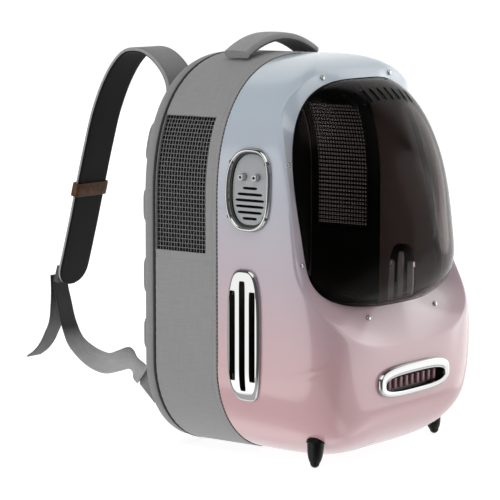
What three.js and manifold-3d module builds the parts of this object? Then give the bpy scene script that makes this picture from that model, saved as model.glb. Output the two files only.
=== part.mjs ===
// Pet carrier backpack: a moulded front shell with a smoked dome window, a fabric gusset
// with net windows, a padded back, a carry handle and two shoulder straps.
// Millimetres, +Z up. The origin is the middle of the flat fabric base, the window faces -Y,
// and the wearer's left is -X.
import * as THREE from "three";
import { mergeVertices } from "three/addons/utils/BufferGeometryUtils.js";
import Module from "manifold-3d";

// Body outline seen from the front: flat base, round lower corners, straight sides, arched roof
const BODY_HEIGHT = 440;
const BODY_HALF_WIDTH = 154;
const BASE_CORNER = 104;
const ARCH_SPRING = 278;
const ARCH_POWER = 2.42;
const OUTLINE_STEPS = { base: 2, corner: 4, side: 6, arch: 8 };
const GAP = 0.4;
const SMALL = 1e-6;
const WELD = 1e-3;
const CUT_REACH = { inner: 110, outer: 170, front: 20 };

// Layers from front to back
const SEAM_Y = -44;
const PIPING_Y = 42;
const PIPING = { outer: 0.6, inner: 4 };
const PANEL_Y = 46;
const PANEL_BACK_Y = 58;
const GUSSET_WALL = 2;
const PANEL_INSET = 1.5;

// Moulded shell: how far it stands forward of the seam at each height
const SHELL_WALL = 3;
const SHELL_REACH = 154;
const LEAN = { start: 141.7, slope: 0.283, blend: 5 };
const BASE_ROUND = { height: 65, rise: 86 };
const ROOF_ROUND = { height: 40, power: 4 };
const CORNER_POWER = [{ z: 60, power: 5.86 }, { z: 210, power: 7.32 }, { z: 360, power: 11.8 }];
const SHELL_ROWS = 8;
const INNER_ROWS = 3;
const TRAIL_STEPS = 60;

// Window: a crease and a rim with one middle, a flat band between them, and the dome that bulges from the rim
const WINDOW_MID_Z = 235;
const CREASE_OVAL = { half: 150.7, rise: 189, drop: 109, up: 3.45, down: 2.96 };
const WINDOW_OVAL = { half: 133.2, rise: 179.5, drop: 65.3, up: 3.24, down: 3.37 };
const RIM = { y: -183.4, z: 165, lean: 0.148, bow: 0.000305, wrap: 25.4, half: 130, power: 1.8 };
const DOME = { apexY: -221.5, apexZ: 246, wall: 2.5, flange: 2, flangeShare: 0.4, behind: 2.5, ease: 0.8,
  inPower: 1.54, outPower: 1.5 };
const DOME_ROWS = [0.95, 0.82, 0.62, 0.34];
const DOME_INNER_ROWS = [0.92, 0.7, 0.4];
const DOME_SLOT = { count: 9, pitch: 13.7, width: 4.5, length: 13, z: 397.5, droop: 0.002 };
const WINDOW_SCREW = { radius: 2.9, height: 1.8, lift: 0.8, turn: 0.01 };
const SCREW_SHAPE = { top: 0.7, sides: 8 };
const WINDOW_SCREW_PLACES = [
  { x: 64.5, z: 417, share: 0.62 },
  { x: 141, z: 328.4, share: 0.66 },
  { x: 139.5, z: 222, share: 0.36 },
  { x: 65.5, z: 160, share: 0.3 },
];

// How the bright fittings sit on the shell: lifts above its surface, and the sleeve inside the hole
const FITTING = { seat: 0.5, edge: 1.9, crest: 2.9, lip: 1.4, depth: 6, sleeve: 0.6, round: 0.6 };

// Control vent on the left side
const VENT = { y: -87.5, z: 300, halfY: 30, halfZ: 45, power: 2.7, rim: 6.5, hole: 3.2, sides: 24 };
const VENT_PLATE = { front: -2, back: -4.5, slotHeight: 3.2, ease: 0.6 };
const VENT_SLOTS = [
  { z: 1.6, half: 9.4 },
  { z: -4.9, half: 16.4 },
  { z: -11.4, half: 19 },
  { z: -17.9, half: 18.6 },
  { z: -24.4, half: 16 },
  { z: -30.9, half: 9.6 },
];
const VENT_BUTTON = { y: 9, z: 13.5, radius: 3.6, stand: 7, dimple: 1.2, collar: 5, inside: 5.5,
  slack: 4, clear: 0.5, bevel: 0.8, dish: 0.55, sides: 12 };
const VENT_SCREW = { radius: 2.1, height: 1.4, y: 23.5, z: 29, lift: 3.3 };

// Long side louvres
const LOUVRE = { y: -82.5, z: 142, halfY: 22, halfZ: 72.5, power: 3.4, rim: 5, flat: 7.5, hole: 3, sides: 24 };
const LOUVRE_SLOTS = [
  { y: -13.3, half: 49, width: 8 },
  { y: 0, half: 60, width: 8 },
  { y: 13.3, half: 49, width: 8 },
];

// Front air grille
const GRILLE = { z: 88, halfX: 68.5, halfZ: 18, power: 3.2, hole: 2, sides: 28 };
const GRILLE_MOUTH = { halfX: 58, halfZ: 9, drop: 2.5, power: 3 };
const GRILLE_TRAY = { less: 5, front: 6.5, back: 9 };
const GRILLE_FIN = { count: 9, pitch: 11, width: 5.4, depth: 4, rail: 1.4, set: 0.5, height: 12 };

// Tapered feet
const FOOT = { tipX: 117.6, tipY: -149.7, leanX: 3, leanY: 1, rise: 23, tip: 5.2, waist: 8.4, root: 9.2,
  length: 34, tipSteps: 4, waistAt: 0.4, sides: 10 };

// Net windows in the gusset
const NET = { frontY: -29, backY: 39, lowZ: 227, highZ: 374.5, lap: 5, setBack: 1.4, wall: 1.2,
  columns: 4, rows: 8, bar: 3.5 };

// Padded back
const PAD = { gap: 22, height: 7.5, wall: 0.55, crown: 6, sides: 14, power: 5 };
const PAD_ROWS = [
  { low: 316, high: 371, margin: 5 },
  { low: 248, high: 299, margin: 5 },
  { low: 168, high: 223, margin: 5 },
  { low: 106, high: 154, margin: 5 },
  { low: 34, high: 88, margin: 20 },
];
const TOP_PAD = { low: 389, margin: 9, height: 6, wall: 0.6, crown: 4, steps: 8 };

// Carry handle on the roof
const HANDLE = { half: 66, y: -4, width: 30, thick: 9, apexZ: 456.6, endLift: 3, steps: 14 };

// Shoulder straps: side view of the middle of the strap, from the back's top to the free end
const STRAP = { x: 73, width: 50, thick: 9, rootY: 69.5, rootZ: 390, steps: 16, tipSteps: 4, tipWidth: 16 };
const STRIP_ROUND = 0.35;
const STRAP_PATH = [
  { y: 69.5, z: 390 },
  { y: 70, z: 403 },
  { y: 74.5, z: 414 },
  { y: 82, z: 424 },
  { y: 93, z: 433.5 },
  { y: 106, z: 440 },
  { y: 119, z: 441.5 },
  { y: 133, z: 439 },
  { y: 147, z: 428 },
  { y: 163, z: 406 },
  { y: 180, z: 370 },
  { y: 193, z: 328 },
  { y: 205, z: 284 },
  { y: 216, z: 242 },
  { y: 228.5, z: 197 },
  { y: 238.5, z: 163 },
];
const STRAP_SIDES = [
  { name: "left", side: -1, spread: 1, rise: 1, swing: 1 },
  { name: "right", side: 1, spread: 0.8, rise: 0.68, swing: 0.2 },
];
const KEEPER = { along: 0.7, height: 16, wall: 1.6, ease: 0.6 };
const BUCKLE = { width: 34, height: 20, thick: 6, slot: 4, ease: 0.8 };

// Adjusting webbing under each strap: it turns a quarter turn on its way to the sewn tab
const WEBBING = { width: 25, thick: 1.8, step: 17, turnFrom: 0.05, turnTo: 0.95 };
const WEBBING_PATH = [
  { x: 73, y: 253.8, z: 172 },
  { x: 73, y: 252.8, z: 158 },
  { x: 74, y: 247, z: 140 },
  { x: 76, y: 239, z: 118 },
  { x: 80, y: 225, z: 98 },
  { x: 86, y: 204.5, z: 87 },
  { x: 94, y: 179.6, z: 80.5 },
  { x: 103, y: 155.8, z: 80 },
  { x: 113, y: 130, z: 87 },
  { x: 123, y: 107, z: 94 },
  { x: 134.5, y: 91, z: 94 },
  { x: 141.6, y: 80, z: 88 },
  { x: 142, y: 70.5, z: 80.5 },
];
const TAIL_PATH = [
  { y: 257.8, z: 172 },
  { y: 257.2, z: 157 },
  { y: 258, z: 138 },
  { y: 261, z: 116 },
  { y: 268.5, z: 101 },
  { y: 275, z: 90 },
  { y: 285, z: 79 },
  { y: 297, z: 71 },
];
const TAB = { x: 136, thick: 2, lowZ: 50, highZ: 97, tipY: 79.7, tipLowZ: 69, tipHighZ: 80 };

const wasm = await Module();
wasm.setup();

const finish = (color, roughness, metalness = 0) => ({ color, roughness, metalness });
const FINISH = {
  shell: finish(0xc3b2bb, 0.18),
  window: finish(0x241f20, 0.08),
  chrome: finish(0xdfe1df, 0.12, 1),
  ventGrey: finish(0x9ca0a3, 0.45),
  trayBlack: finish(0x161515, 0.6),
  finPink: finish(0x7d545b, 0.5),
  footBlack: finish(0x1e1e1e, 0.55),
  fabric: finish(0x8d8d8d, 0.9),
  net: finish(0x5b5b5b, 0.85),
  piping: finish(0x0c0c0c, 0.7),
  padding: finish(0x868686, 0.92),
  strap: finish(0x7e7e7e, 0.9),
  leather: finish(0x5b4232, 0.6),
  webbing: finish(0x868686, 0.85),
  buckle: finish(0x222222, 0.5),
};

const carrier = new THREE.Group();

function place(name, geometry, look) {
  const mesh = new THREE.Mesh(geometry, new THREE.MeshStandardMaterial(look));
  mesh.name = name;
  carrier.add(mesh);
  return mesh;
}

const lerp = (a, b, t) => a + (b - a) * t;
const vec = (x, y, z) => new THREE.Vector3(x, y, z);
const signedPower = (value, power) => Math.sign(value) * Math.abs(value) ** power;

function signedVolume(geometry) {
  const index = geometry.index.array;
  const position = geometry.attributes.position;
  const corner = (k) => new THREE.Vector3().fromBufferAttribute(position, index[k]);
  let volume = 0;
  for (let k = 0; k < index.length; k += 3) {
    volume += corner(k).dot(corner(k + 1).cross(corner(k + 2))) / 6;
  }
  return volume;
}

function outward(geometry) {
  if (signedVolume(geometry) < 0) {
    geometry.index.array.reverse();
  }
  return geometry;
}

// A closed skin through rings of points. A ring of one point closes the end; with wrap the
// last ring joins the first, which makes a hollow ring.
function loft(rings, wrap = false) {
  const points = [];
  const starts = [];
  const capped = [...rings];
  if (!wrap) {
    const middle = (ring) => ring.reduce((sum, p) => sum.add(p), vec(0, 0, 0)).divideScalar(ring.length);
    if (rings[0].length > 1) capped.unshift([middle(rings[0])]);
    if (rings.at(-1).length > 1) capped.push([middle(rings.at(-1))]);
  }
  for (const ring of capped) {
    starts.push(points.length);
    points.push(...ring);
  }
  const triangles = [];
  const joins = wrap ? capped.length : capped.length - 1;
  const sides = Math.max(...capped.map((ring) => ring.length));
  for (let r = 0; r < joins; r++) {
    const next = (r + 1) % capped.length;
    const at = (ring, k) => starts[ring] + (k % capped[ring].length);
    for (let k = 0; k < sides; k++) {
      if (capped[r].length > 1) triangles.push(at(r, k), at(r, k + 1), at(next, k));
      if (capped[next].length > 1) triangles.push(at(r, k + 1), at(next, k + 1), at(next, k));
    }
  }
  const geometry = new THREE.BufferGeometry();
  const numbers = points.flatMap((p) => p.toArray());
  geometry.setAttribute("position", new THREE.Float32BufferAttribute(numbers, 3));
  geometry.setIndex(new THREE.BufferAttribute(new Uint32Array(triangles), 1));
  return outward(geometry);
}

function solidOf(source) {
  const bare = source.clone();
  bare.deleteAttribute("normal");
  bare.deleteAttribute("uv");
  const merged = mergeVertices(bare);
  const vertProperties = new Float32Array(merged.attributes.position.array);
  const triVerts = new Uint32Array(merged.index.array);
  return new wasm.Manifold(new wasm.Mesh({ numProp: 3, vertProperties, triVerts }));
}

function geometryOf(solid) {
  const { vertProperties, triVerts } = solid.getMesh();
  const geometry = new THREE.BufferGeometry();
  geometry.setAttribute("position", new THREE.BufferAttribute(vertProperties, 3));
  geometry.setIndex(new THREE.BufferAttribute(triVerts, 1));
  return geometry;
}

function cut(source, tools) {
  let solid = solidOf(source);
  for (const tool of tools) {
    solid = solid.subtract(solidOf(tool));
  }
  return geometryOf(solid);
}

// Right half of the body outline, from the middle of the base to the top of the arch
function halfOutline(inset) {
  const points = [];
  const flat = BODY_HALF_WIDTH - BASE_CORNER;
  for (let k = 0; k < OUTLINE_STEPS.base; k++) {
    points.push({ x: (flat * k) / OUTLINE_STEPS.base, z: inset });
  }
  for (let k = 0; k < OUTLINE_STEPS.corner; k++) {
    const angle = ((k / OUTLINE_STEPS.corner) * Math.PI) / 2;
    const radius = BASE_CORNER - inset;
    points.push({ x: flat + radius * Math.sin(angle), z: BASE_CORNER - radius * Math.cos(angle) });
  }
  for (let k = 0; k < OUTLINE_STEPS.side; k++) {
    points.push({ x: BODY_HALF_WIDTH - inset, z: lerp(BASE_CORNER, ARCH_SPRING, k / OUTLINE_STEPS.side) });
  }
  for (let k = 0; k < OUTLINE_STEPS.arch; k++) {
    const angle = ((k / OUTLINE_STEPS.arch) * Math.PI) / 2;
    points.push({
      x: (BODY_HALF_WIDTH - inset) * Math.cos(angle) ** (2 / ARCH_POWER),
      z: ARCH_SPRING + (BODY_HEIGHT - ARCH_SPRING - inset) * Math.sin(angle) ** (2 / ARCH_POWER),
    });
  }
  points.push({ x: 0, z: BODY_HEIGHT - inset });
  return points;
}

function outline(inset) {
  const right = halfOutline(inset);
  const left = right.slice(1, -1).reverse().map((p) => ({ x: -p.x, z: p.z }));
  return [...right, ...left];
}

function halfWidthAt(z, inset = 0) {
  if (z < BASE_CORNER) {
    const down = Math.min(BASE_CORNER - z, BASE_CORNER - inset);
    return BODY_HALF_WIDTH - BASE_CORNER + Math.sqrt((BASE_CORNER - inset) ** 2 - down ** 2);
  }
  const up = Math.max(0, z - ARCH_SPRING) / (BODY_HEIGHT - ARCH_SPRING - inset);
  return (BODY_HALF_WIDTH - inset) * Math.max(0, 1 - up ** ARCH_POWER) ** (1 / ARCH_POWER);
}

const outlineRing = (inset, y) => outline(inset).map((p) => vec(p.x, y, p.z));

// Half the sum of a value and its smoothed size: zero far below, the value far above
const softRamp = (value, blend) => (value + Math.hypot(value, blend)) / 2;

function shellReach(z, inset) {
  const front = SHELL_REACH - softRamp(LEAN.slope * (z - LEAN.start), LEAN.blend);
  const roofStart = BODY_HEIGHT - ROOF_ROUND.height;
  const up = Math.max(0, z - roofStart) / (ROOF_ROUND.height - inset);
  const roof = Math.max(0, 1 - up ** ROOF_ROUND.power) ** (1 / ROOF_ROUND.power);
  const down = Math.max(0, BASE_ROUND.height - z) / (BASE_ROUND.height - inset);
  const tuck = BASE_ROUND.rise * (1 - Math.sqrt(1 - Math.min(1, down) ** 2));
  return (front - inset) * roof - tuck;
}

function cornerPower(z) {
  const upper = z > CORNER_POWER[1].z ? 2 : 1;
  const [from, to] = CORNER_POWER.slice(upper - 1, upper + 1);
  const t = THREE.MathUtils.clamp((z - from.z) / (to.z - from.z), 0, 1);
  return lerp(from.power, to.power, t);
}

function shellY(x, z, inset = 0) {
  const power = cornerPower(z);
  const across = Math.min(1, Math.abs(x) / Math.max(1, halfWidthAt(z, inset)));
  return SEAM_Y - shellReach(z, inset) * (1 - across ** power) ** (1 / power);
}

function shellX(y, z) {
  const power = cornerPower(z);
  const forward = Math.min(1, (SEAM_Y - y) / shellReach(z, 0));
  return halfWidthAt(z) * (1 - Math.max(0, forward) ** power) ** (1 / power);
}

// The point of an oval that lies in the same direction from its middle as an outline point
function towards(oval, p) {
  const dz = p.z - WINDOW_MID_Z;
  const height = dz > 0 ? oval.rise : oval.drop;
  const power = dz > 0 ? oval.up : oval.down;
  const size = ((Math.abs(p.x) / oval.half) ** power + (Math.abs(dz) / height) ** power) ** (1 / power);
  return { x: p.x / size, z: WINDOW_MID_Z + dz / size };
}

const DIRECTIONS = outline(0);
const shrink = (oval, by) => ({ ...oval, half: oval.half - by, rise: oval.rise - by, drop: oval.drop - by });

// How far forward the window's rim lies
function rimY(x, z) {
  const up = z - RIM.z;
  return RIM.y + RIM.lean * up + RIM.bow * up * up + RIM.wrap * (Math.abs(x) / RIM.half) ** RIM.power;
}

function rimRing(oval, back) {
  return DIRECTIONS.map((direction) => {
    const p = towards(oval, direction);
    return vec(p.x, rimY(p.x, p.z) + back, p.z);
  });
}

// A point of the band round the window, from its rim to its crease
function bandPoint(direction, share, inset = 0) {
  const rim = towards(WINDOW_OVAL, direction);
  const crease = towards(shrink(CREASE_OVAL, inset), direction);
  const outer = vec(crease.x, shellY(crease.x, crease.z, inset), crease.z);
  return vec(rim.x, rimY(rim.x, rim.z) + inset, rim.z).lerp(outer, share);
}

function bandNormal(direction, share) {
  const dz = direction.z - WINDOW_MID_Z;
  const turned = (by) => bandPoint({ x: direction.x - by * dz, z: direction.z + by * direction.x }, share);
  const round = turned(WINDOW_SCREW.turn).sub(turned(-WINDOW_SCREW.turn));
  const normal = round.cross(bandPoint(direction, 1).sub(bandPoint(direction, 0))).normalize();
  return normal.y > 0 ? normal.negate() : normal;
}

function flangeRing(back) {
  return DIRECTIONS.map((direction) => {
    const p = bandPoint(direction, DOME.flangeShare, SHELL_WALL);
    return vec(p.x, p.y + back, p.z);
  });
}

// Evenly spaced points on the shell from the seam to the crease round the window
function shellRow(seam, direction, inset, rows) {
  const crease = towards(shrink(CREASE_OVAL, inset), direction);
  const trail = [vec(seam.x, SEAM_Y - GAP, seam.z)];
  for (let k = 0; k <= TRAIL_STEPS; k++) {
    const x = lerp(seam.x, crease.x, k / TRAIL_STEPS);
    const z = lerp(seam.z, crease.z, k / TRAIL_STEPS);
    trail.push(vec(x, Math.min(SEAM_Y - GAP, shellY(x, z, inset)), z));
  }
  const along = [0];
  for (let k = 1; k < trail.length; k++) {
    along.push(along[k - 1] + trail[k].distanceTo(trail[k - 1]));
  }
  return Array.from({ length: rows + 1 }, (_, row) => {
    const target = (along.at(-1) * row) / rows;
    const k = Math.max(1, along.findIndex((length) => length >= target - SMALL));
    const t = (target - along[k - 1]) / Math.max(SMALL, along[k] - along[k - 1]);
    return trail[k - 1].clone().lerp(trail[k], THREE.MathUtils.clamp(t, 0, 1));
  });
}

function shellRings(inset, rows) {
  const columns = outline(inset).map((seam, k) => shellRow(seam, DIRECTIONS[k], inset, rows));
  return Array.from({ length: rows + 1 }, (_, row) => columns.map((column) => column[row]));
}

// A bar whose outline is drawn in the YZ plane and which runs along X
function barAlongX(ring, fromX, toX) {
  return loft([ring.map((p) => vec(fromX, p.y, p.z)), ring.map((p) => vec(toX, p.y, p.z))]);
}

function superRing(halfA, halfB, power, sides) {
  return Array.from({ length: sides }, (_, k) => {
    const angle = (k / sides) * Math.PI * 2;
    return {
      a: halfA * signedPower(Math.cos(angle), 2 / power),
      b: halfB * signedPower(Math.sin(angle), 2 / power),
    };
  });
}

function slotRing(halfLength, halfWidth, turns = 2) {
  const ring = [];
  for (const end of [1, -1]) {
    for (let k = 0; k <= turns; k++) {
      const angle = (k / turns - 0.5) * Math.PI;
      ring.push({
        a: end * (halfLength - halfWidth + halfWidth * Math.cos(angle)),
        b: end * halfWidth * Math.sin(angle),
      });
    }
  }
  return ring;
}

// A fitting that follows the shell's side: rings given by size and by lift above the surface
const onSide = (side, spec, a, b, lift) => {
  const y = spec.y + a;
  const z = spec.z + b;
  return vec(side * (shellX(y, z) + lift), y, z);
};

function sideRings(side, spec, steps) {
  return steps.map(({ less, lift }) =>
    superRing(spec.halfY - less, spec.halfZ - less, spec.power, spec.sides).map(({ a, b }) =>
      onSide(side, spec, a, b, lift)));
}

function sideHole(side, spec) {
  const ring = superRing(spec.halfY - spec.hole, spec.halfZ - spec.hole, spec.power, spec.sides);
  const at = ring.map(({ a, b }) => ({ y: spec.y + a, z: spec.z + b }));
  return barAlongX(at, side * CUT_REACH.inner, side * CUT_REACH.outer);
}

const rimSteps = (rim, hole) => [
  { less: 0, lift: FITTING.seat },
  { less: FITTING.round, lift: FITTING.edge },
  { less: rim / 2, lift: FITTING.crest },
  { less: rim, lift: FITTING.lip },
  { less: rim, lift: -FITTING.depth },
  { less: hole + FITTING.sleeve, lift: -FITTING.depth },
  { less: hole + FITTING.sleeve, lift: FITTING.seat },
];

const grillePoint = (x, z, lift) => vec(x, shellY(x, z) - lift, z);
const grilleRing = ({ halfX, halfZ, power }, drop, lift) =>
  superRing(halfX, halfZ, power, GRILLE.sides).map(({ a, b }) => grillePoint(a, GRILLE.z - drop + b, lift));

function grilleSize(less) {
  return { halfX: GRILLE.halfX - less, halfZ: GRILLE.halfZ - less, power: GRILLE.power };
}

// Front shell
function frontShell() {
  const rings = [
    ...shellRings(0, SHELL_ROWS),
    rimRing(WINDOW_OVAL, 0),
    rimRing(WINDOW_OVAL, SHELL_WALL),
    ...shellRings(SHELL_WALL, INNER_ROWS).reverse(),
  ];
  const mouth = grilleRing(grilleSize(GRILLE.hole), 0, 0);
  const grilleHole = loft([-1, 1].map((way) => mouth.map((p) => vec(p.x, p.y + way * CUT_REACH.front, p.z))));
  return cut(loft(rings, true), [sideHole(-1, VENT), sideHole(-1, LOUVRE), sideHole(1, LOUVRE), grilleHole]);
}

// Smoked dome, with a flange that lies behind the band round the window
function domeRing(r, wall) {
  const rim = shrink(WINDOW_OVAL, DOME.ease);
  const fall = 1 - (1 - r ** DOME.inPower) ** (1 / DOME.outPower);
  return DIRECTIONS.map((direction) => {
    const edge = towards(rim, direction);
    const x = edge.x * r;
    const z = lerp(DOME.apexZ, edge.z, r);
    return vec(x, lerp(DOME.apexY, rimY(edge.x, edge.z), fall) + wall, z);
  });
}

function domeSlot(k) {
  const x = (k - (DOME_SLOT.count - 1) / 2) * DOME_SLOT.pitch;
  const z = DOME_SLOT.z - DOME_SLOT.droop * x * x;
  const lean = 2 * DOME_SLOT.droop * x;
  const ring = slotRing(DOME_SLOT.length / 2, DOME_SLOT.width / 2).map(({ a, b }) =>
    vec(x + b + a * lean, 0, z + a - b * lean));
  return loft([DOME.apexY, SEAM_Y - GAP].map((y) => ring.map((p) => vec(p.x, y, p.z))));
}

function windowDome() {
  const { behind } = DOME;
  const back = behind + DOME.flange;
  const lip = shrink(WINDOW_OVAL, DOME.ease);
  const rings = [
    [vec(0, DOME.apexY, DOME.apexZ)],
    ...[...DOME_ROWS].reverse().map((r) => domeRing(r, 0)),
    domeRing(1, 0),
    rimRing(lip, SHELL_WALL + behind),
    flangeRing(behind),
    flangeRing(back),
    rimRing(shrink(lip, DOME.wall), SHELL_WALL + back),
    ...DOME_INNER_ROWS.map((r) => domeRing(r, DOME.wall)),
    [vec(0, DOME.apexY + DOME.wall, DOME.apexZ)],
  ];
  return cut(loft(rings), Array.from({ length: DOME_SLOT.count }, (_, k) => domeSlot(k)));
}

// A low round head turned about +Z, its underside at zero
function screwHead(radius, height) {
  const profile = [
    new THREE.Vector2(0, 0),
    new THREE.Vector2(radius, 0),
    new THREE.Vector2(radius * SCREW_SHAPE.top, height),
    new THREE.Vector2(0, height),
  ];
  return mergedLathe(profile, SCREW_SHAPE.sides);
}

function mergedLathe(profile, sides) {
  const lathe = new THREE.LatheGeometry(profile, sides);
  lathe.rotateX(Math.PI / 2);
  lathe.deleteAttribute("normal");
  lathe.deleteAttribute("uv");
  return geometryOf(solidOf(outward(mergeVertices(lathe, WELD))));
}

const UP = vec(0, 0, 1);

function aim(mesh, position, axis) {
  mesh.position.copy(position);
  mesh.quaternion.setFromUnitVectors(UP, axis.clone().normalize());
}

// Outward direction of the shell near a point of the side view
function sideNormal(side, y, z) {
  const step = 1;
  const slopeY = (shellX(y + step, z) - shellX(y - step, z)) / (2 * step);
  const slopeZ = (shellX(y, z + step) - shellX(y, z - step)) / (2 * step);
  return vec(side, -slopeY, -slopeZ).normalize();
}

function addWindowScrews() {
  WINDOW_SCREW_PLACES.forEach(({ x, z, share }, row) => {
    [-1, 1].forEach((side, column) => {
      const name = `window_screw_${row * 2 + column + 1}`;
      const mesh = place(name, screwHead(WINDOW_SCREW.radius, WINDOW_SCREW.height), FINISH.chrome);
      const direction = { x: side * x, z };
      const axis = bandNormal(direction, share);
      aim(mesh, bandPoint(direction, share).addScaledVector(axis, WINDOW_SCREW.lift), axis);
    });
  });
}

// Control vent: rim, slotted plate, two sprung push buttons, four screws
function buttonHole(side) {
  const radius = VENT_BUTTON.radius + VENT_BUTTON.clear;
  const ring = superRing(radius, radius, 2, VENT_BUTTON.sides);
  const y = VENT.y + side * VENT_BUTTON.y;
  const z = VENT.z + VENT_BUTTON.z;
  const at = ring.map(({ a, b }) => ({ y: y + a, z: z + b }));
  return barAlongX(at, -CUT_REACH.inner, -CUT_REACH.outer);
}

function ventPlate() {
  const edge = VENT.rim + VENT_PLATE.ease;
  const rings = sideRings(-1, VENT, [
    { less: edge, lift: VENT_PLATE.front },
    { less: edge, lift: VENT_PLATE.back },
  ]);
  const slots = VENT_SLOTS.map(({ z, half }) => {
    const ring = slotRing(half, VENT_PLATE.slotHeight / 2);
    const at = ring.map(({ a, b }) => ({ y: VENT.y + a, z: VENT.z + z + b }));
    return barAlongX(at, -CUT_REACH.inner, -CUT_REACH.outer);
  });
  return cut(loft(rings), [...slots, buttonHole(-1), buttonHole(1)]);
}

function buttonProfile() {
  const { radius, stand, dimple, collar, inside, slack, bevel, dish } = VENT_BUTTON;
  const through = VENT_PLATE.front - VENT_PLATE.back;
  return [
    new THREE.Vector2(0, -inside - through),
    new THREE.Vector2(collar, -inside - through),
    new THREE.Vector2(collar, -through - slack),
    new THREE.Vector2(radius, -through - slack),
    new THREE.Vector2(radius, stand - bevel),
    new THREE.Vector2(radius - bevel, stand),
    new THREE.Vector2(radius * dish, stand),
    new THREE.Vector2(0, stand - dimple),
  ];
}

function addVent() {
  place("vent_frame", loft(sideRings(-1, VENT, rimSteps(VENT.rim, VENT.hole)), true), FINISH.chrome);
  place("vent_plate", ventPlate(), FINISH.ventGrey);
  [-1, 1].forEach((side, k) => {
    const peg = mergedLathe(buttonProfile(), VENT_BUTTON.sides);
    const mesh = place(`vent_button_${k + 1}`, peg, FINISH.chrome);
    const face = onSide(-1, VENT, side * VENT_BUTTON.y, VENT_BUTTON.z, VENT_PLATE.front);
    aim(mesh, face, vec(-1, 0, 0));
  });
  let count = 0;
  for (const z of [1, -1]) {
    for (const y of [1, -1]) {
      count += 1;
      const head = screwHead(VENT_SCREW.radius, VENT_SCREW.height);
      const mesh = place(`vent_screw_${count}`, head, FINISH.chrome);
      const axis = sideNormal(-1, VENT.y + y * VENT_SCREW.y, VENT.z + z * VENT_SCREW.z);
      aim(mesh, onSide(-1, VENT, y * VENT_SCREW.y, z * VENT_SCREW.z, VENT_SCREW.lift), axis);
    }
  }
}

// Long louvre: a bright plate with a raised edge and three slots, open into the cabin
function sideLouvre(side) {
  const inner = LOUVRE.hole + FITTING.sleeve;
  const rings = sideRings(side, LOUVRE, [
    { less: inner, lift: -FITTING.depth },
    { less: inner, lift: FITTING.seat },
    { less: 0, lift: FITTING.seat },
    { less: FITTING.round, lift: FITTING.edge },
    { less: LOUVRE.rim / 2, lift: FITTING.crest },
    { less: LOUVRE.flat, lift: FITTING.crest },
  ]);
  const slots = LOUVRE_SLOTS.map(({ y, half, width }) => {
    const ring = slotRing(half, width / 2);
    const at = ring.map(({ a, b }) => ({ y: LOUVRE.y + y + b, z: LOUVRE.z + a }));
    return barAlongX(at, side * CUT_REACH.inner, side * CUT_REACH.outer);
  });
  return cut(loft(rings), slots);
}

// Front grille: bright frame, dark tray behind it and a row of upright fins
function grilleFrame() {
  const { halfX, halfZ, power, drop } = GRILLE_MOUTH;
  const mouth = (more, lift) => grilleRing({ halfX: halfX + more, halfZ: halfZ + more, power }, drop, lift);
  const sleeve = grilleSize(GRILLE.hole + FITTING.sleeve);
  return loft([
    grilleRing(grilleSize(0), 0, FITTING.seat),
    grilleRing(grilleSize(FITTING.round), 0, FITTING.edge),
    grilleRing(grilleSize(GRILLE.hole), 0, FITTING.crest),
    mouth(1, FITTING.crest),
    mouth(0, FITTING.lip),
    mouth(0, -FITTING.depth),
    grilleRing(sleeve, 0, -FITTING.depth),
    grilleRing(sleeve, 0, FITTING.seat),
  ], true);
}

function grilleTray() {
  const size = grilleSize(GRILLE_TRAY.less);
  return loft([grilleRing(size, 0, -GRILLE_TRAY.front), grilleRing(size, 0, -GRILLE_TRAY.back)]);
}

function grilleFins() {
  const { count, pitch, width, depth, rail, set, height } = GRILLE_FIN;
  const comb = new THREE.Shape();
  const half = (pitch * count) / 2;
  comb.moveTo(half, depth + rail);
  comb.lineTo(-half, depth + rail);
  comb.lineTo(-half, depth);
  for (let k = 0; k < count; k++) {
    const x = (k - (count - 1) / 2) * pitch;
    comb.lineTo(x - width / 2, depth);
    comb.lineTo(x - width / 2, 0);
    comb.lineTo(x + width / 2, 0);
    comb.lineTo(x + width / 2, depth);
  }
  comb.lineTo(half, depth);
  const fins = new THREE.ExtrudeGeometry(comb, { depth: height, bevelEnabled: false });
  fins.translate(0, shellY(0, GRILLE.z) + set, GRILLE.z - GRILLE_MOUTH.drop - height / 2);
  return geometryOf(solidOf(fins));
}

// Feet: splayed tapered pegs with round tips, cut to the shell's underside
function footProfile() {
  const tip = Array.from({ length: FOOT.tipSteps + 1 }, (_, k) => {
    const angle = ((k / FOOT.tipSteps) * Math.PI) / 2;
    return new THREE.Vector2(FOOT.tip * Math.sin(angle), -FOOT.tip * Math.cos(angle));
  });
  return [
    ...tip,
    new THREE.Vector2(FOOT.waist, FOOT.length * FOOT.waistAt),
    new THREE.Vector2(FOOT.root, FOOT.length),
    new THREE.Vector2(0, FOOT.length),
  ];
}

function addFeet() {
  const body = loft(shellRings(-GAP, SHELL_ROWS));
  for (const { name, side } of STRAP_SIDES) {
    const lean = vec(-side * FOOT.leanX, FOOT.leanY, FOOT.rise).normalize();
    const peg = mergedLathe(footProfile(), FOOT.sides);
    peg.applyQuaternion(new THREE.Quaternion().setFromUnitVectors(UP, lean));
    peg.translate(side * FOOT.tipX, FOOT.tipY, FOOT.tip);
    place(`front_foot_${name}`, cut(peg, [body]), FINISH.footBlack);
  }
}

// Fabric gusset, a hoop round the body with an opening for each net window
function sideGusset() {
  const front = SEAM_Y + GAP;
  const back = PIPING_Y - GAP;
  const hoop = loft([
    outlineRing(0, front),
    outlineRing(0, back),
    outlineRing(GUSSET_WALL, back),
    outlineRing(GUSSET_WALL, front),
  ], true);
  const windows = [-1, 1].map((side) => netCut(side, NET.frontY, NET.backY, NET.lowZ, NET.highZ));
  return cut(hoop, windows);
}

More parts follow.
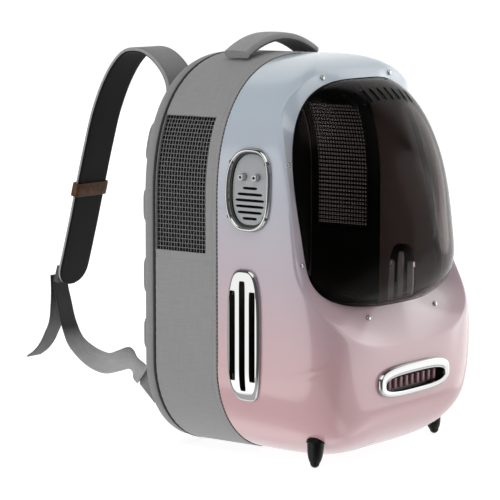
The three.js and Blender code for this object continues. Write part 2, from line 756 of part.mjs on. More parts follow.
// A block that cuts a rectangle of the side view through one side wall
function netCut(side, lowY, highY, lowZ, highZ) {
  const ring = [
    { y: lowY, z: lowZ },
    { y: highY, z: lowZ },
    { y: highY, z: highZ },
    { y: lowY, z: highZ },
  ];
  return barAlongX(ring, side * CUT_REACH.inner, side * CUT_REACH.outer);
}

// Net panel, lapped behind the gusset and cut through in rows of square gaps
function netPanel(side) {
  const front = GUSSET_WALL + NET.setBack;
  const bars = Array.from({ length: NET.rows - 1 }, (_, k) => lerp(NET.lowZ, NET.highZ, (k + 1) / NET.rows));
  const heights = [NET.lowZ - NET.lap, ...bars, NET.highZ + NET.lap];
  const back = PIPING_Y - GAP;
  const panel = loft(heights.map((z) => {
    const outer = side * halfWidthAt(z, front);
    const inner = side * halfWidthAt(z, front + NET.wall);
    return [
      vec(outer, NET.frontY - NET.lap, z),
      vec(outer, back, z),
      vec(inner, back, z),
      vec(inner, NET.frontY - NET.lap, z),
    ];
  }));
  const pitchY = (NET.backY - NET.frontY) / NET.columns;
  const pitchZ = (NET.highZ - NET.lowZ) / NET.rows;
  const gaps = [];
  for (let row = 0; row < NET.rows; row++) {
    for (let column = 0; column < NET.columns; column++) {
      const y = NET.frontY + column * pitchY + NET.bar / 2;
      const z = NET.lowZ + row * pitchZ + NET.bar / 2;
      gaps.push(netCut(side, y, y + pitchY - NET.bar, z, z + pitchZ - NET.bar));
    }
  }
  return cut(panel, gaps);
}

// Padded back: piping, panel, two columns of pads and a pad across the top
function backPiping() {
  const back = PANEL_Y - GAP;
  return loft([
    outlineRing(PIPING.outer, PIPING_Y),
    outlineRing(PIPING.outer, back),
    outlineRing(PIPING.inner, back),
    outlineRing(PIPING.inner, PIPING_Y),
  ], true);
}

function padRing(side, row, shrinkBy, y) {
  const middleZ = (row.low + row.high) / 2;
  const halfZ = (row.high - row.low) / 2 - shrinkBy;
  return superRing(1, 1, PAD.power, PAD.sides).map(({ a, b }) => {
    const z = middleZ + b * halfZ;
    const inner = PAD.gap / 2 + shrinkBy;
    const outer = halfWidthAt(z) - row.margin - shrinkBy;
    return vec(side * lerp(inner, outer, (a + 1) / 2), y, z);
  });
}

function backPad(side, row) {
  const root = PANEL_BACK_Y + GAP;
  return loft([
    padRing(side, row, 0, root),
    padRing(side, row, 0, root + PAD.height * PAD.wall),
    padRing(side, row, PAD.crown, root + PAD.height),
  ]);
}

function topPad() {
  const { low, margin, height, wall, crown, steps } = TOP_PAD;
  const root = PANEL_BACK_Y + GAP;
  const ring = (less, y) => {
    const right = Array.from({ length: steps + 1 }, (_, k) => {
      const z = lerp(low + less, BODY_HEIGHT - margin - less, Math.sin(((k / steps) * Math.PI) / 2));
      return vec(Math.max(1, halfWidthAt(z, margin + less)), y, z);
    });
    return [...right, ...right.map((p) => vec(-p.x, y, p.z)).reverse()];
  };
  return loft([ring(0, root), ring(0, root + height * wall), ring(crown, root + height)]);
}

// Section of a soft strip: a flat oblong with rounded edges, set across a path
function stripRing(at, across, normal, width, thick) {
  const round = thick * STRIP_ROUND;
  const corners = [
    [width / 2, thick / 2 - round],
    [width / 2 - round, thick / 2],
    [-width / 2 + round, thick / 2],
    [-width / 2, thick / 2 - round],
    [-width / 2, -thick / 2 + round],
    [-width / 2 + round, -thick / 2],
    [width / 2 - round, -thick / 2],
    [width / 2, -thick / 2 + round],
  ];
  return corners.map(([a, n]) => at.clone().addScaledVector(across, a).addScaledVector(normal, n));
}

// Height of the roof at a distance from the middle
function roofHeight(x) {
  const across = Math.abs(x) / BODY_HALF_WIDTH;
  return ARCH_SPRING + (BODY_HEIGHT - ARCH_SPRING) * (1 - across ** ARCH_POWER) ** (1 / ARCH_POWER);
}

function carryHandle() {
  const endZ = roofHeight(HANDLE.half) + HANDLE.thick / 2 + HANDLE.endLift;
  const rings = Array.from({ length: HANDLE.steps + 1 }, (_, k) => {
    const t = lerp(-1, 1, k / HANDLE.steps);
    const at = vec(t * HANDLE.half, HANDLE.y, lerp(endZ, HANDLE.apexZ, 1 - t * t));
    const slope = (-2 * t * (HANDLE.apexZ - endZ)) / HANDLE.half;
    return stripRing(at, vec(0, 1, 0), vec(-slope, 0, 1).normalize(), HANDLE.width, HANDLE.thick);
  });
  return loft(rings);
}

// Shoulder strap in side view: the far strap lies a little closer and lower than the near one
function fallPoint(strap, x, y, z) {
  const near = STRAP.rootY + (y - STRAP.rootY) * strap.spread;
  const lift = Math.max(0, z - STRAP.rootZ) * strap.rise + Math.min(STRAP.rootZ, z);
  return vec(strap.side * x, near, lift);
}

function strapCurve(strap) {
  return new THREE.CatmullRomCurve3(STRAP_PATH.map(({ y, z }) => fallPoint(strap, STRAP.x, y, z)));
}

function strapRing(curve, t, width, thick) {
  const tangent = curve.getTangentAt(t);
  const across = vec(1, 0, 0);
  return stripRing(curve.getPointAt(t), across, across.clone().cross(tangent).normalize(), width, thick);
}

function shoulderStrap(curve) {
  const length = curve.getLength();
  const half = STRAP.width / 2;
  const stations = Array.from({ length: STRAP.steps }, (_, k) => (k / STRAP.steps) * (length - half));
  for (let k = 0; k <= STRAP.tipSteps; k++) {
    stations.push(length - half * Math.cos(((k / STRAP.tipSteps) * Math.PI) / 2));
  }
  const rings = stations.map((station) => {
    const fromRound = Math.max(0, station - (length - half));
    const width = 2 * Math.sqrt(Math.max(0, half ** 2 - fromRound ** 2));
    return strapRing(curve, station / length, Math.max(STRAP.tipWidth, width), STRAP.thick);
  });
  return loft(rings);
}

function strapKeeper(curve) {
  const length = curve.getLength();
  const ends = [KEEPER.along - KEEPER.height / 2 / length, KEEPER.along + KEEPER.height / 2 / length];
  const band = (grow) => ends.map((t) => strapRing(curve, t, STRAP.width + 2 * grow, STRAP.thick + 2 * grow));
  const inner = band(KEEPER.ease);
  const outer = band(KEEPER.ease + KEEPER.wall);
  return loft([outer[0], outer[1], inner[1], inner[0]], true);
}

// Plain ladder buckle behind the strap's end
function addBuckle(name, curve) {
  const plate = new THREE.Shape();
  plate.moveTo(-BUCKLE.width / 2, -BUCKLE.height / 2);
  plate.lineTo(BUCKLE.width / 2, -BUCKLE.height / 2);
  plate.lineTo(BUCKLE.width / 2, BUCKLE.height / 2);
  plate.lineTo(-BUCKLE.width / 2, BUCKLE.height / 2);
  for (const z of [-BUCKLE.height / 4, BUCKLE.height / 4]) {
    const slot = new THREE.Path();
    const half = WEBBING.width / 2 + BUCKLE.ease;
    slot.moveTo(-half, z - BUCKLE.slot / 2);
    slot.lineTo(-half, z + BUCKLE.slot / 2);
    slot.lineTo(half, z + BUCKLE.slot / 2);
    slot.lineTo(half, z - BUCKLE.slot / 2);
    plate.holes.push(slot);
  }
  const bar = new THREE.ExtrudeGeometry(plate, { depth: BUCKLE.thick, bevelEnabled: false });
  const mesh = place(`strap_buckle_${name}`, geometryOf(solidOf(bar)), FINISH.buckle);
  const tangent = curve.getTangentAt(1);
  const outwardNormal = vec(0, -tangent.z, tangent.y).normalize();
  mesh.quaternion.setFromRotationMatrix(new THREE.Matrix4().makeBasis(
    vec(1, 0, 0), outwardNormal.clone().cross(vec(1, 0, 0)), outwardNormal));
  const seat = curve.getPointAt(1).addScaledVector(tangent, -BUCKLE.height / 2);
  mesh.position.copy(seat.addScaledVector(outwardNormal, STRAP.thick / 2 + GAP));
}

// Flat webbing swept along a path, with its width turning from one direction to another
function webbing(points, widthStart, widthEnd) {
  const curve = new THREE.CatmullRomCurve3(points);
  const steps = Math.round(curve.getLength() / WEBBING.step);
  const rings = Array.from({ length: steps + 1 }, (_, k) => {
    const t = k / steps;
    const tangent = curve.getTangentAt(t);
    const turn = THREE.MathUtils.smoothstep(t, WEBBING.turnFrom, WEBBING.turnTo);
    const across = widthStart.clone().lerp(widthEnd, turn);
    across.addScaledVector(tangent, -across.dot(tangent)).normalize();
    const normal = tangent.clone().cross(across);
    const at = curve.getPointAt(t);
    const half = WEBBING.width / 2;
    const skin = WEBBING.thick / 2;
    return [[half, skin], [-half, skin], [-half, -skin], [half, -skin]].map(([a, n]) =>
      at.clone().addScaledVector(across, a).addScaledVector(normal, n));
  });
  return loft(rings);
}

function anchorTab(side) {
  const y = PANEL_BACK_Y + GAP;
  const ring = [
    { y, z: TAB.lowZ },
    { y: TAB.tipY, z: TAB.tipLowZ },
    { y: TAB.tipY, z: TAB.tipHighZ },
    { y, z: TAB.highZ },
  ];
  return barAlongX(ring, side * (TAB.x - TAB.thick / 2), side * (TAB.x + TAB.thick / 2));
}

function addStrap(strap) {
  const { name, side } = strap;
  const curve = strapCurve(strap);
  place(`shoulder_strap_${name}`, shoulderStrap(curve), FINISH.strap);
  place(`strap_keeper_${name}`, strapKeeper(curve), FINISH.leather);
  addBuckle(name, curve);
  const start = vec(-side, 0, 0);
  const lower = WEBBING_PATH.map(({ x, y, z }) => fallPoint(strap, x, y, z));
  place(`lower_webbing_${name}`, webbing(lower, start, vec(0, 0, 1)), FINISH.webbing);
  const tailTop = TAIL_PATH[0].y;
  const tail = TAIL_PATH.map(({ y, z }) => fallPoint(strap, STRAP.x, lerp(tailTop, y, strap.swing), z));
  place(`webbing_tail_${name}`, webbing(tail, start, start), FINISH.webbing);
  place(`anchor_tab_${name}`, anchorTab(side), FINISH.webbing);
}

place("front_shell", frontShell(), FINISH.shell);
place("window_dome", windowDome(), FINISH.window);
addWindowScrews();
addVent();
for (const { name, side } of STRAP_SIDES) {
  place(`side_louvre_${name}`, sideLouvre(side), FINISH.chrome);
}
place("grille_frame", grilleFrame(), FINISH.chrome);
place("grille_tray", grilleTray(), FINISH.trayBlack);
place("grille_fins", grilleFins(), FINISH.finPink);
addFeet();
place("side_gusset", sideGusset(), FINISH.fabric);
for (const { name, side } of STRAP_SIDES) {
  place(`mesh_panel_${name}`, netPanel(side), FINISH.net);
}
place("back_piping", backPiping(), FINISH.piping);
place("back_panel", loft([PANEL_Y, PANEL_BACK_Y].map((y) => outlineRing(PANEL_INSET, y))), FINISH.padding);
for (const { name, side } of STRAP_SIDES) {
  PAD_ROWS.forEach((row, k) => place(`back_pad_${name}_${k + 1}`, backPad(side, row), FINISH.padding));
}
place("top_pad", topPad(), FINISH.padding);
place("carry_handle", carryHandle(), FINISH.strap);
STRAP_SIDES.forEach(addStrap);

export default carrier;
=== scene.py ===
# %% [markdown]
# # A pet carrier backpack
# The carrier has a glossy moulded front with a smoked bubble window. A grey cloth wall with net
# windows and a padded back close it behind. It stands on its base, as in a shop picture.
# Sizes are written in millimetres and become metres when a mesh is made.

# %% Load the frame
import math
from collections import namedtuple

import bmesh
import bpy
import numpy as np
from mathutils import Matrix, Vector


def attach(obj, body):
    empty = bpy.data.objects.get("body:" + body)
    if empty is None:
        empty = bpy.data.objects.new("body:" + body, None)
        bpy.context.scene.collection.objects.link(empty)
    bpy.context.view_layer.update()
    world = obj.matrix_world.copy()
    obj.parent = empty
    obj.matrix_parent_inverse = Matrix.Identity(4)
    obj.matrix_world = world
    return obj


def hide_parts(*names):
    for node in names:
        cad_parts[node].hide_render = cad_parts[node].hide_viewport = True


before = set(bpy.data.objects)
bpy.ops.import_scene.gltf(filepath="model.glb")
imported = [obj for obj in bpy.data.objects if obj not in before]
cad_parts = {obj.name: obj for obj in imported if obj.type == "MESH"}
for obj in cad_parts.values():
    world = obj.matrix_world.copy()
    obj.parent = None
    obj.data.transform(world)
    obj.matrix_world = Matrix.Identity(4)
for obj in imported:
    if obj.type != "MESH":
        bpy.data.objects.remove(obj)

MM = 0.001
LEFT, RIGHT = -1, 1
SIDES = {"left": LEFT, "right": RIGHT}
scene = bpy.context.scene
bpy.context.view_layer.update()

# %% [markdown]
# ## Camera
# The picture was taken from the carrier's left front, a little above it, with a long lens. The angle
# was found by matching the outline and the fittings, so the camera is set from those numbers.

# %% Camera
VIEW_AZIMUTH = math.radians(-52.78)
VIEW_ELEVATION = math.radians(7.14)
VIEW_TARGET = Vector((0, 26.4, 220)) * MM
VIEW_DISTANCE = 2851.2 * MM
FILM_WIDTH, LENS, FAR_CLIP = 36, 178.9, 50
FILM_SHIFT = (-0.0016, -0.0155)

to_camera = Vector((
    math.cos(VIEW_ELEVATION) * math.sin(VIEW_AZIMUTH),
    -math.cos(VIEW_ELEVATION) * math.cos(VIEW_AZIMUTH),
    math.sin(VIEW_ELEVATION),
))
camera_data = bpy.data.cameras.new("studio_camera")
camera_data.sensor_width = FILM_WIDTH
camera_data.lens = LENS
camera_data.shift_x, camera_data.shift_y = FILM_SHIFT
camera_data.clip_end = FAR_CLIP
camera = bpy.data.objects.new("studio_camera", camera_data)
camera.location = VIEW_TARGET + to_camera * VIEW_DISTANCE
camera.rotation_euler = (-to_camera).to_track_quat("-Z", "Y").to_euler()
scene.collection.objects.link(camera)
scene.camera = camera
scene.view_settings.view_transform = "Standard"
print("camera at", [round(value, 3) for value in camera.location])

# %% [markdown]
# ## Material helpers
# A surface is a Principled shader with a few texture nodes in front of it. These helpers keep each
# recipe to a few lines: one adds a node and wires it, the others make the patterns used most.

# %% Material helpers
POLISH_BLOT = 18


def surface(name, **values):
    """A new Principled material. In a keyword an underscore stands for a space of the socket's name."""
    material = bpy.data.materials.new(name)
    material.use_nodes = True
    shader = material.node_tree.nodes["Principled BSDF"]
    for socket, value in values.items():
        is_colour = isinstance(value, tuple)
        shader.inputs[socket.replace("_", " ")].default_value = (*value, 1) if is_colour else value
    return material


def node(tree, kind, inputs=None, **settings):
    """Adds a shader node. An input, by name or number, is a value or another node's output."""
    made = tree.nodes.new("ShaderNode" + kind)
    for key, value in settings.items():
        setattr(made, key, value)
    for key, value in (inputs or {}).items():
        if isinstance(value, bpy.types.NodeSocket):
            tree.links.new(value, made.inputs[key])
        else:
            made.inputs[key].default_value = value
    return made


def math_node(tree, operation, first, second=0.0):
    return node(tree, "Math", {0: first, 1: second}, operation=operation).outputs[0]


def blend_values(tree, share, first, second):
    return node(tree, "Mix", {0: share, 2: first, 3: second}, data_type="FLOAT").outputs[0]


def grey(level):
    return (level, level, level)


def ramp(tree, factor, stops):
    """Colours along a factor; stops are (place, (red, green, blue))."""
    made = node(tree, "ValToRGB", {"Fac": factor})
    band = made.color_ramp
    for place, _ in stops[1:-1]:
        band.elements.new(place)
    for element, (place, colour) in zip(band.elements, stops):
        element.position = place
        element.color = (*colour, 1)
    return made.outputs["Color"]


def spread(tree, factor, low, high, start=0.0, stop=1.0, **settings):
    """Maps a factor that runs from start to stop onto low to high."""
    values = {"Value": factor, "From Min": start, "From Max": stop, "To Min": low, "To Max": high}
    return node(tree, "MapRange", values, **settings).outputs["Result"]


def own_place(tree):
    return node(tree, "TexCoord").outputs["Object"]


def own_height(tree):
    return node(tree, "SeparateXYZ", {0: own_place(tree)}).outputs["Z"]


def noise(tree, size, detail=3):
    """Noise in the object's own space, with blots about size mm wide."""
    values = {"Vector": own_place(tree), "Scale": 1 / (size * MM), "Detail": detail}
    return node(tree, "TexNoise", values).outputs["Fac"]


def feed(material, **sockets):
    """Wires outputs into the material's Principled shader."""
    shader = material.node_tree.nodes["Principled BSDF"]
    for socket, output in sockets.items():
        material.node_tree.links.new(output, shader.inputs[socket.replace("_", " ")])


def bump(tree, height, depth):
    """A bump whose full height is depth mm."""
    return node(tree, "Bump", {"Height": height, "Distance": depth * MM, "Strength": 1.0}).outputs[0]


def grained(name, colour, roughness, grain, depth, swing=0.06, **values):
    """Moulded plastic, rubber or metal: fine grain and uneven polish."""
    material = surface(name, Base_Color=colour, **values)
    tree = material.node_tree
    polish = noise(tree, POLISH_BLOT, 4)
    feed(
        material,
        Roughness=spread(tree, polish, roughness - swing, roughness + swing),
        Normal=bump(tree, noise(tree, grain), depth),
    )
    return material


print("material helpers ready")

# %% [markdown]
# ## Cloth helpers
# Woven cloth shows its threads. Each sewn piece carries a coordinate map in millimetres, so a weave of
# a given pitch has its true size on a wall, a pad or a strap alike. A sine each way, taken in turn
# where the threads cross, gives the over and under of a plain weave.

# %% Cloth helpers
CROSSING_BLEND = 0.25
SLUB_ALONG, SLUB_ACROSS = 30, 22
CLOTH_ROUGH, CLOTH_ROUGH_SWING = 0.88, 0.08


def cloth_place(tree):
    return node(tree, "UVMap", uv_map="cloth").outputs["UV"]


def wave(tree, axis, pitch):
    """A sine along one way of the cloth that is zero every pitch mm."""
    place = node(tree, "SeparateXYZ", {0: cloth_place(tree)}).outputs[axis]
    return math_node(tree, "SINE", math_node(tree, "MULTIPLY", place, math.pi / pitch))


def ridges(tree, axis, pitch):
    """Rounded ridges pitch mm apart."""
    return math_node(tree, "ABSOLUTE", wave(tree, axis, pitch))


def weave(tree, pitch):
    """Height of a plain weave with threads pitch mm apart."""
    crossing = math_node(tree, "MULTIPLY", wave(tree, "X", pitch), wave(tree, "Y", pitch))
    share = spread(tree, crossing, 0.0, 1.0, -CROSSING_BLEND, CROSSING_BLEND)
    return blend_values(tree, share, ridges(tree, "X", pitch), ridges(tree, "Y", pitch))


def streaks(tree, width, length, turned=False):
    """Noise drawn out along the threads, as in slubby yarn."""
    scale = (1 / width, 1 / length, 1) if turned else (1 / length, 1 / width, 1)
    place = node(tree, "Mapping", {"Vector": cloth_place(tree), "Scale": scale}).outputs[0]
    return node(tree, "TexNoise", {"Vector": place, "Scale": 1.0, "Detail": 2}).outputs["Fac"]


def pebbles(tree, size):
    """Round cells about size mm wide, as in leather or spacer mesh."""
    return node(tree, "TexVoronoi", {"Vector": cloth_place(tree), "Scale": 1 / size}).outputs["Distance"]


def cloth(name, dark, light, pitch, depth):
    """Woven cloth between two grey levels, with slubby threads both ways."""
    material = surface(name, Sheen_Weight=0.15, Sheen_Roughness=0.5)
    tree = material.node_tree
    threads = weave(tree, pitch)
    along, across = streaks(tree, pitch, SLUB_ALONG), streaks(tree, pitch, SLUB_ACROSS, turned=True)
    slubs = blend_values(tree, 0.5, along, across)
    tone = blend_values(tree, 0.35, slubs, threads)
    rough = spread(tree, slubs, CLOTH_ROUGH - CLOTH_ROUGH_SWING, CLOTH_ROUGH + CLOTH_ROUGH_SWING)
    feed(
        material,
        Base_Color=ramp(tree, tone, [(0.25, grey(dark)), (0.7, grey(light))]),
        Roughness=rough,
        Normal=bump(tree, blend_values(tree, 0.3, threads, slubs), depth),
    )
    return material


print("cloth helpers ready")

# %% [markdown]
# ## Mesh helpers
# Nearly every piece here is a row of rings joined by quads: a shell, a tube, a strap, a screw. One loft
# function makes them all and lays the cloth coordinates at the same time.

# %% Mesh helpers
RING_POINTS, LATHE_SIDES, THREAD_SIDES = 144, 40, 6
FACE_START, TIP, FINEST, UPRIGHT = 0.94, 0.02, 0.01, 0.9


def columns(x, y, z):
    """Points from three coordinates; each is a row of numbers, or one number for all."""
    return np.stack(np.broadcast_arrays(x, y, z), axis=-1).astype(float)


def unit(vectors):
    return vectors / np.linalg.norm(vectors, axis=-1, keepdims=True)


def turns(count):
    """Angles at even steps round a full turn."""
    return np.linspace(0, 2 * math.pi, count, endpoint=False)


def distances(points):
    """How far along a line of points each of them lies."""
    return np.concatenate([[0], np.cumsum(np.linalg.norm(np.diff(points, axis=0), axis=1))])


def evenly(points, count):
    """count points at even steps along a line of points."""
    points = np.asarray(points, float)
    along = distances(points)
    steps = np.linspace(0, along[-1], count)
    return np.stack([np.interp(steps, along, column) for column in points.T], axis=1)


def oval(half_a, half_b, power, count=RING_POINTS):
    """Superellipse: power 2 is an ellipse, and a higher one is squarer."""
    a, b = np.cos(turns(count)), np.sin(turns(count))
    return (
        half_a * np.sign(a) * np.abs(a) ** (2 / power),
        half_b * np.sign(b) * np.abs(b) ** (2 / power),
    )


def loft(rings, wrap=False):
    """Joins rings of points. Returns points, faces and a cloth coordinate for each face corner."""
    rings = np.asarray(rings, float)
    count, around = rings.shape[:2]
    steps_around = np.linalg.norm(np.roll(rings, -1, axis=1) - rings, axis=2).mean(axis=0)
    steps_along = np.linalg.norm(np.roll(rings, -1, axis=0) - rings, axis=2).mean(axis=1)
    u = np.concatenate([[0], np.cumsum(steps_around)])
    v = np.concatenate([[0], np.cumsum(steps_along)])
    faces, places = [], []
    for row in range(count if wrap else count - 1):
        here, there = row * around, (row + 1) % count * around
        for k in range(around):
            after = (k + 1) % around
            faces.append((here + k, here + after, there + after, there + k))
            places += [(u[k], v[row]), (u[k + 1], v[row]), (u[k + 1], v[row + 1]), (u[k], v[row + 1])]
    if not wrap:
        for row in (0, count - 1):
            faces.append(tuple(row * around + k for k in range(around)))
            places += [(u[k], v[row]) for k in range(around)]
    return rings.reshape(-1, 3), faces, places


def stripe(rows, around, first, last=math.inf):
    """Finish numbers for a loft's quads: 1 on the rows from first to before last, 0 on the others."""
    return [int(first <= row < last) for row in range(rows) for _ in range(around)]


def merge(shapes):
    """Several shapes as one."""
    points, faces, places = [], [], []
    for some_points, some_faces, some_places in shapes:
        start = sum(len(block) for block in points)
        points.append(some_points)
        faces += [tuple(start + k for k in face) for face in some_faces]
        places += some_places
    return np.concatenate(points), faces, places


def lathe(profile, at, axis, sides=LATHE_SIDES):
    """Turns (radius, height) rows about an axis that starts at a point."""
    axis = unit(np.asarray(axis, float))
    upright = abs(axis[2]) > UPRIGHT
    across = unit(np.cross([1.0, 0, 0] if upright else [0, 0, 1.0], axis))
    other = np.cross(axis, across)
    turn = turns(sides)[:, None]
    spoke = np.cos(turn) * across + np.sin(turn) * other
    return loft([np.asarray(at) + spoke * max(radius, FINEST) + axis * height for radius, height in profile])


def prism(ring, along):
    """A ring and its copy moved along a vector, joined."""
    return loft([ring, np.asarray(ring) + np.asarray(along, float)])


def piece(name, shape, finishes, skin, sharp):
    """A mesh object from a shape in mm. skin gives each face's place in the list of finishes."""
    points, faces, places = shape
    mesh = bpy.data.meshes.new(name)
    mesh.from_pydata((np.asarray(points) * MM).tolist(), [], faces)
    mesh.uv_layers.new(name="cloth").data.foreach_set("uv", np.asarray(places, np.float32).ravel())
    for finish in finishes:
        mesh.materials.append(finish)
    if skin is not None:
        mesh.polygons.foreach_set("material_index", np.asarray(skin, np.int32))
    mesh.polygons.foreach_set("use_smooth", np.ones(len(faces), bool))
    work = bmesh.new()
    work.from_mesh(mesh)
    bmesh.ops.recalc_face_normals(work, faces=work.faces[:])
    work.to_mesh(mesh)
    work.free()
    mesh.set_sharp_from_angle(angle=math.radians(sharp))
    thing = bpy.data.objects.new(name, mesh)
    scene.collection.objects.link(thing)
    return thing


def carve(thing, shapes, inside, sharp):
    """Cuts shapes out of a piece for good; inside is the finish of the cut walls."""
    cutter = piece("cutter", merge(shapes), [inside] if inside else [], None, sharp)
    modifier = thing.modifiers.new("cut", "BOOLEAN")
    modifier.solver = "EXACT"
    modifier.object = cutter
    modifier.material_mode = "TRANSFER" if inside else "INDEX"
    depsgraph = bpy.context.evaluated_depsgraph_get()
    cut = bpy.data.meshes.new_from_object(thing.evaluated_get(depsgraph))
    thing.modifiers.clear()
    thing.data = cut
    cut.set_sharp_from_angle(angle=math.radians(sharp))
    bpy.data.objects.remove(cutter)


def fit(thing, slot, *nodes, body="carrier"):
    """Fastens a piece to a body and hides the plain solids that it stands for. The slot is not used."""
    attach(thing, body)
    if nodes:
        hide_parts(*nodes)


def add(name, shape, finishes, slot, *nodes, body="carrier", skin=None, sharp=50, cuts=(), inside=None):
    """Makes a piece from a shape, cuts other shapes out of it and fits it."""
    thing = piece(name, shape, finishes, skin, sharp)
    if cuts:
        carve(thing, cuts, inside, sharp)
    fit(thing, slot, *nodes, body=body)
    return thing


def dress(name, finish):
    """Gives a plain solid of the frame its finish."""
    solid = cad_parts[name]
    solid.data.materials.clear()
    solid.data.materials.append(finish)
    return solid


print("mesh helpers ready")

# %% [markdown]
# ## Body outline and front surface
# Seen from the front the body is a tombstone: round lower corners, straight sides, an arched roof. The
# front surface is a squarish bulge on that outline which leans back towards the top and tucks in at the
# foot. Both are written once as formulas, so that fittings can be laid on the surface anywhere.

# %% Body outline and front surface
BODY_HEIGHT, BODY_HALF_WIDTH = 440, 154
BASE_CORNER, ARCH_SPRING, ARCH_POWER = 104, 278, 2.42
BASE_FLAT = BODY_HALF_WIDTH - BASE_CORNER
SEAM_Y, SEAM_GAP, WALL = -44, 0.4, 3
FLAT_POINTS, SIDE_POINTS, ARC_POINTS = 30, 40, 80
FRONT_REACH, LEAN, LEAN_FROM, LEAN_BLEND = 154, 0.283, 141.7, 5
ROOF_FROM, ROOF_POWER = 400, 4
TUCK_FROM, TUCK_DEPTH = 65, 86
CORNER_HEIGHTS, CORNER_POWERS = [60, 210, 360], [5.86, 7.32, 11.8]


def half_outline(inset):
    """The outline's right half in front view, from the middle of the base to the top of the roof."""
    turn = np.linspace(0, math.pi / 2, ARC_POINTS)
    half, radius = BODY_HALF_WIDTH - inset, BASE_CORNER - inset
    arch = BODY_HEIGHT - ARCH_SPRING - inset
    x = [
        np.linspace(0, BASE_FLAT, FLAT_POINTS),
        BASE_FLAT + radius * np.sin(turn),
        np.full(SIDE_POINTS, half),
        half * np.cos(turn) ** (2 / ARCH_POWER),
    ]
    z = [
        np.full(FLAT_POINTS, inset),
        BASE_CORNER - radius * np.cos(turn),
        np.linspace(BASE_CORNER, ARCH_SPRING, SIDE_POINTS),
        ARCH_SPRING + arch * np.sin(turn) ** (2 / ARCH_POWER),
    ]
    return np.concatenate(x), np.concatenate(z)


OUTLINE_X, OUTLINE_Z = half_outline(0)
OUTLINE_ALONG = np.concatenate([[0], np.cumsum(np.hypot(np.diff(OUTLINE_X), np.diff(OUTLINE_Z)))])
HALF_LENGTH = OUTLINE_ALONG[-1]


def outline_place(height):
    """How far along the right half the outline reaches a height, in mm."""
    rising = OUTLINE_ALONG > BASE_FLAT
    return np.interp(height, OUTLINE_Z[rising], OUTLINE_ALONG[rising])


def body_ring(places, inset, y):
    """A closed ring round the body at depth y; places run along the right half and are mirrored."""
    x, z = (np.interp(places, OUTLINE_ALONG, values) for values in half_outline(inset))
    return columns(np.concatenate([x, -x[-2:0:-1]]), y, np.concatenate([z, z[-2:0:-1]]))


def half_width(z, inset=0):
    radius, half = BASE_CORNER - inset, BODY_HALF_WIDTH - inset
    down = np.clip(BASE_CORNER - z, 0, radius)
    up = np.clip((z - ARCH_SPRING) / (BODY_HEIGHT - ARCH_SPRING - inset), 0, 1)
    low = BASE_FLAT + np.sqrt(radius ** 2 - down ** 2)
    return np.where(z < BASE_CORNER, low, half * (1 - up ** ARCH_POWER) ** (1 / ARCH_POWER))


def shell_reach(z, inset=0):
    """How far the front surface stands before the seam on the middle line, at height z."""
    lean = LEAN * (z - LEAN_FROM)
    front = FRONT_REACH - (lean + np.hypot(lean, LEAN_BLEND)) / 2
    above = np.clip((z - ROOF_FROM) / (BODY_HEIGHT - ROOF_FROM - inset), 0, None)
    roof = np.clip(1 - above ** ROOF_POWER, 0, 1) ** (1 / ROOF_POWER)
    below = np.clip((TUCK_FROM - z) / (TUCK_FROM - inset), 0, 1)
    tuck = TUCK_DEPTH * (1 - np.sqrt(1 - below ** 2))
    return (front - inset) * roof - tuck


def corner_power(z):
    return np.interp(z, CORNER_HEIGHTS, CORNER_POWERS)


def shell_y(x, z, inset=0):
    power = corner_power(z)
    across = np.clip(np.abs(x) / np.maximum(half_width(z, inset), FINEST), 0, 1)
    return SEAM_Y - shell_reach(z, inset) * (1 - across ** power) ** (1 / power)


def shell_x(y, z):
    power = corner_power(z)
    forward = np.clip((SEAM_Y - y) / shell_reach(z), 0, 1)
    return half_width(z) * (1 - forward ** power) ** (1 / power)


print("outline:", round(2 * HALF_LENGTH), "mm round")

# %% [markdown]
# ## Moulded shell
# The front half is one thin moulding in a glossy paint that fades from pale blue down to pink. Its sides
# run forward to a crease round the window. From there a flat band leads in to the window's rim. Each
# column of the mesh runs from the seam to the rim, so crease and rim are lines of the mesh itself.

# %% Shell shape
Oval = namedtuple("Oval", "half rise drop up down")
OVAL_CENTRE = 235
CREASE_OVAL = Oval(150.7, 189, 109, 3.45, 2.96)
WINDOW_OVAL = Oval(133.2, 179.5, 65.3, 3.24, 3.37)
RIM_LEVEL, RIM_Y, RIM_LEAN, RIM_CURVE = 165, -183.4, 0.148, 0.000305
RIM_WRAP, RIM_WRAP_WIDTH, RIM_WRAP_POWER = 25.4, 130, 1.8
SHELL_COLUMNS, OUTER_ROWS, INNER_ROWS = 141, 80, 30
SHELL_PLACES = np.linspace(0, HALF_LENGTH, SHELL_COLUMNS)
SPOKES = body_ring(SHELL_PLACES, 0, 0)
TRAIL_POINTS, TRAIL_EASE = 160, 3
SEAM_ROUND, CREASE_ROUND = 1.1, 3.0
CREASE_STEPS, BAND_STEPS = (0.2, 0.4, 0.6, 0.8, 1), (0.25, 0.5, 0.75, 1)


def shrink(shape, by):
    return shape._replace(half=shape.half - by, rise=shape.rise - by, drop=shape.drop - by)


def towards(shape, x, z):
    """Where the line from the oval's centre towards (x, z) crosses the oval."""
    up = z - OVAL_CENTRE
    reach = np.where(up > 0, shape.rise, shape.drop)
    power = np.where(up > 0, shape.up, shape.down)
    size = ((np.abs(x) / shape.half) ** power + (np.abs(up) / reach) ** power) ** (1 / power)
    return x / size, OVAL_CENTRE + up / size


def rim_y(x, z):
    """How far forward the window's rim lies: it leans back upwards and wraps back at the sides."""
    up = z - RIM_LEVEL
    wrap = RIM_WRAP * (np.abs(x) / RIM_WRAP_WIDTH) ** RIM_WRAP_POWER
    return RIM_Y + RIM_LEAN * up + RIM_CURVE * up ** 2 + wrap


def crease_ring(inset):
    x, z = towards(shrink(CREASE_OVAL, inset), SPOKES[:, 0], SPOKES[:, 2])
    return columns(x, shell_y(x, z, inset), z)


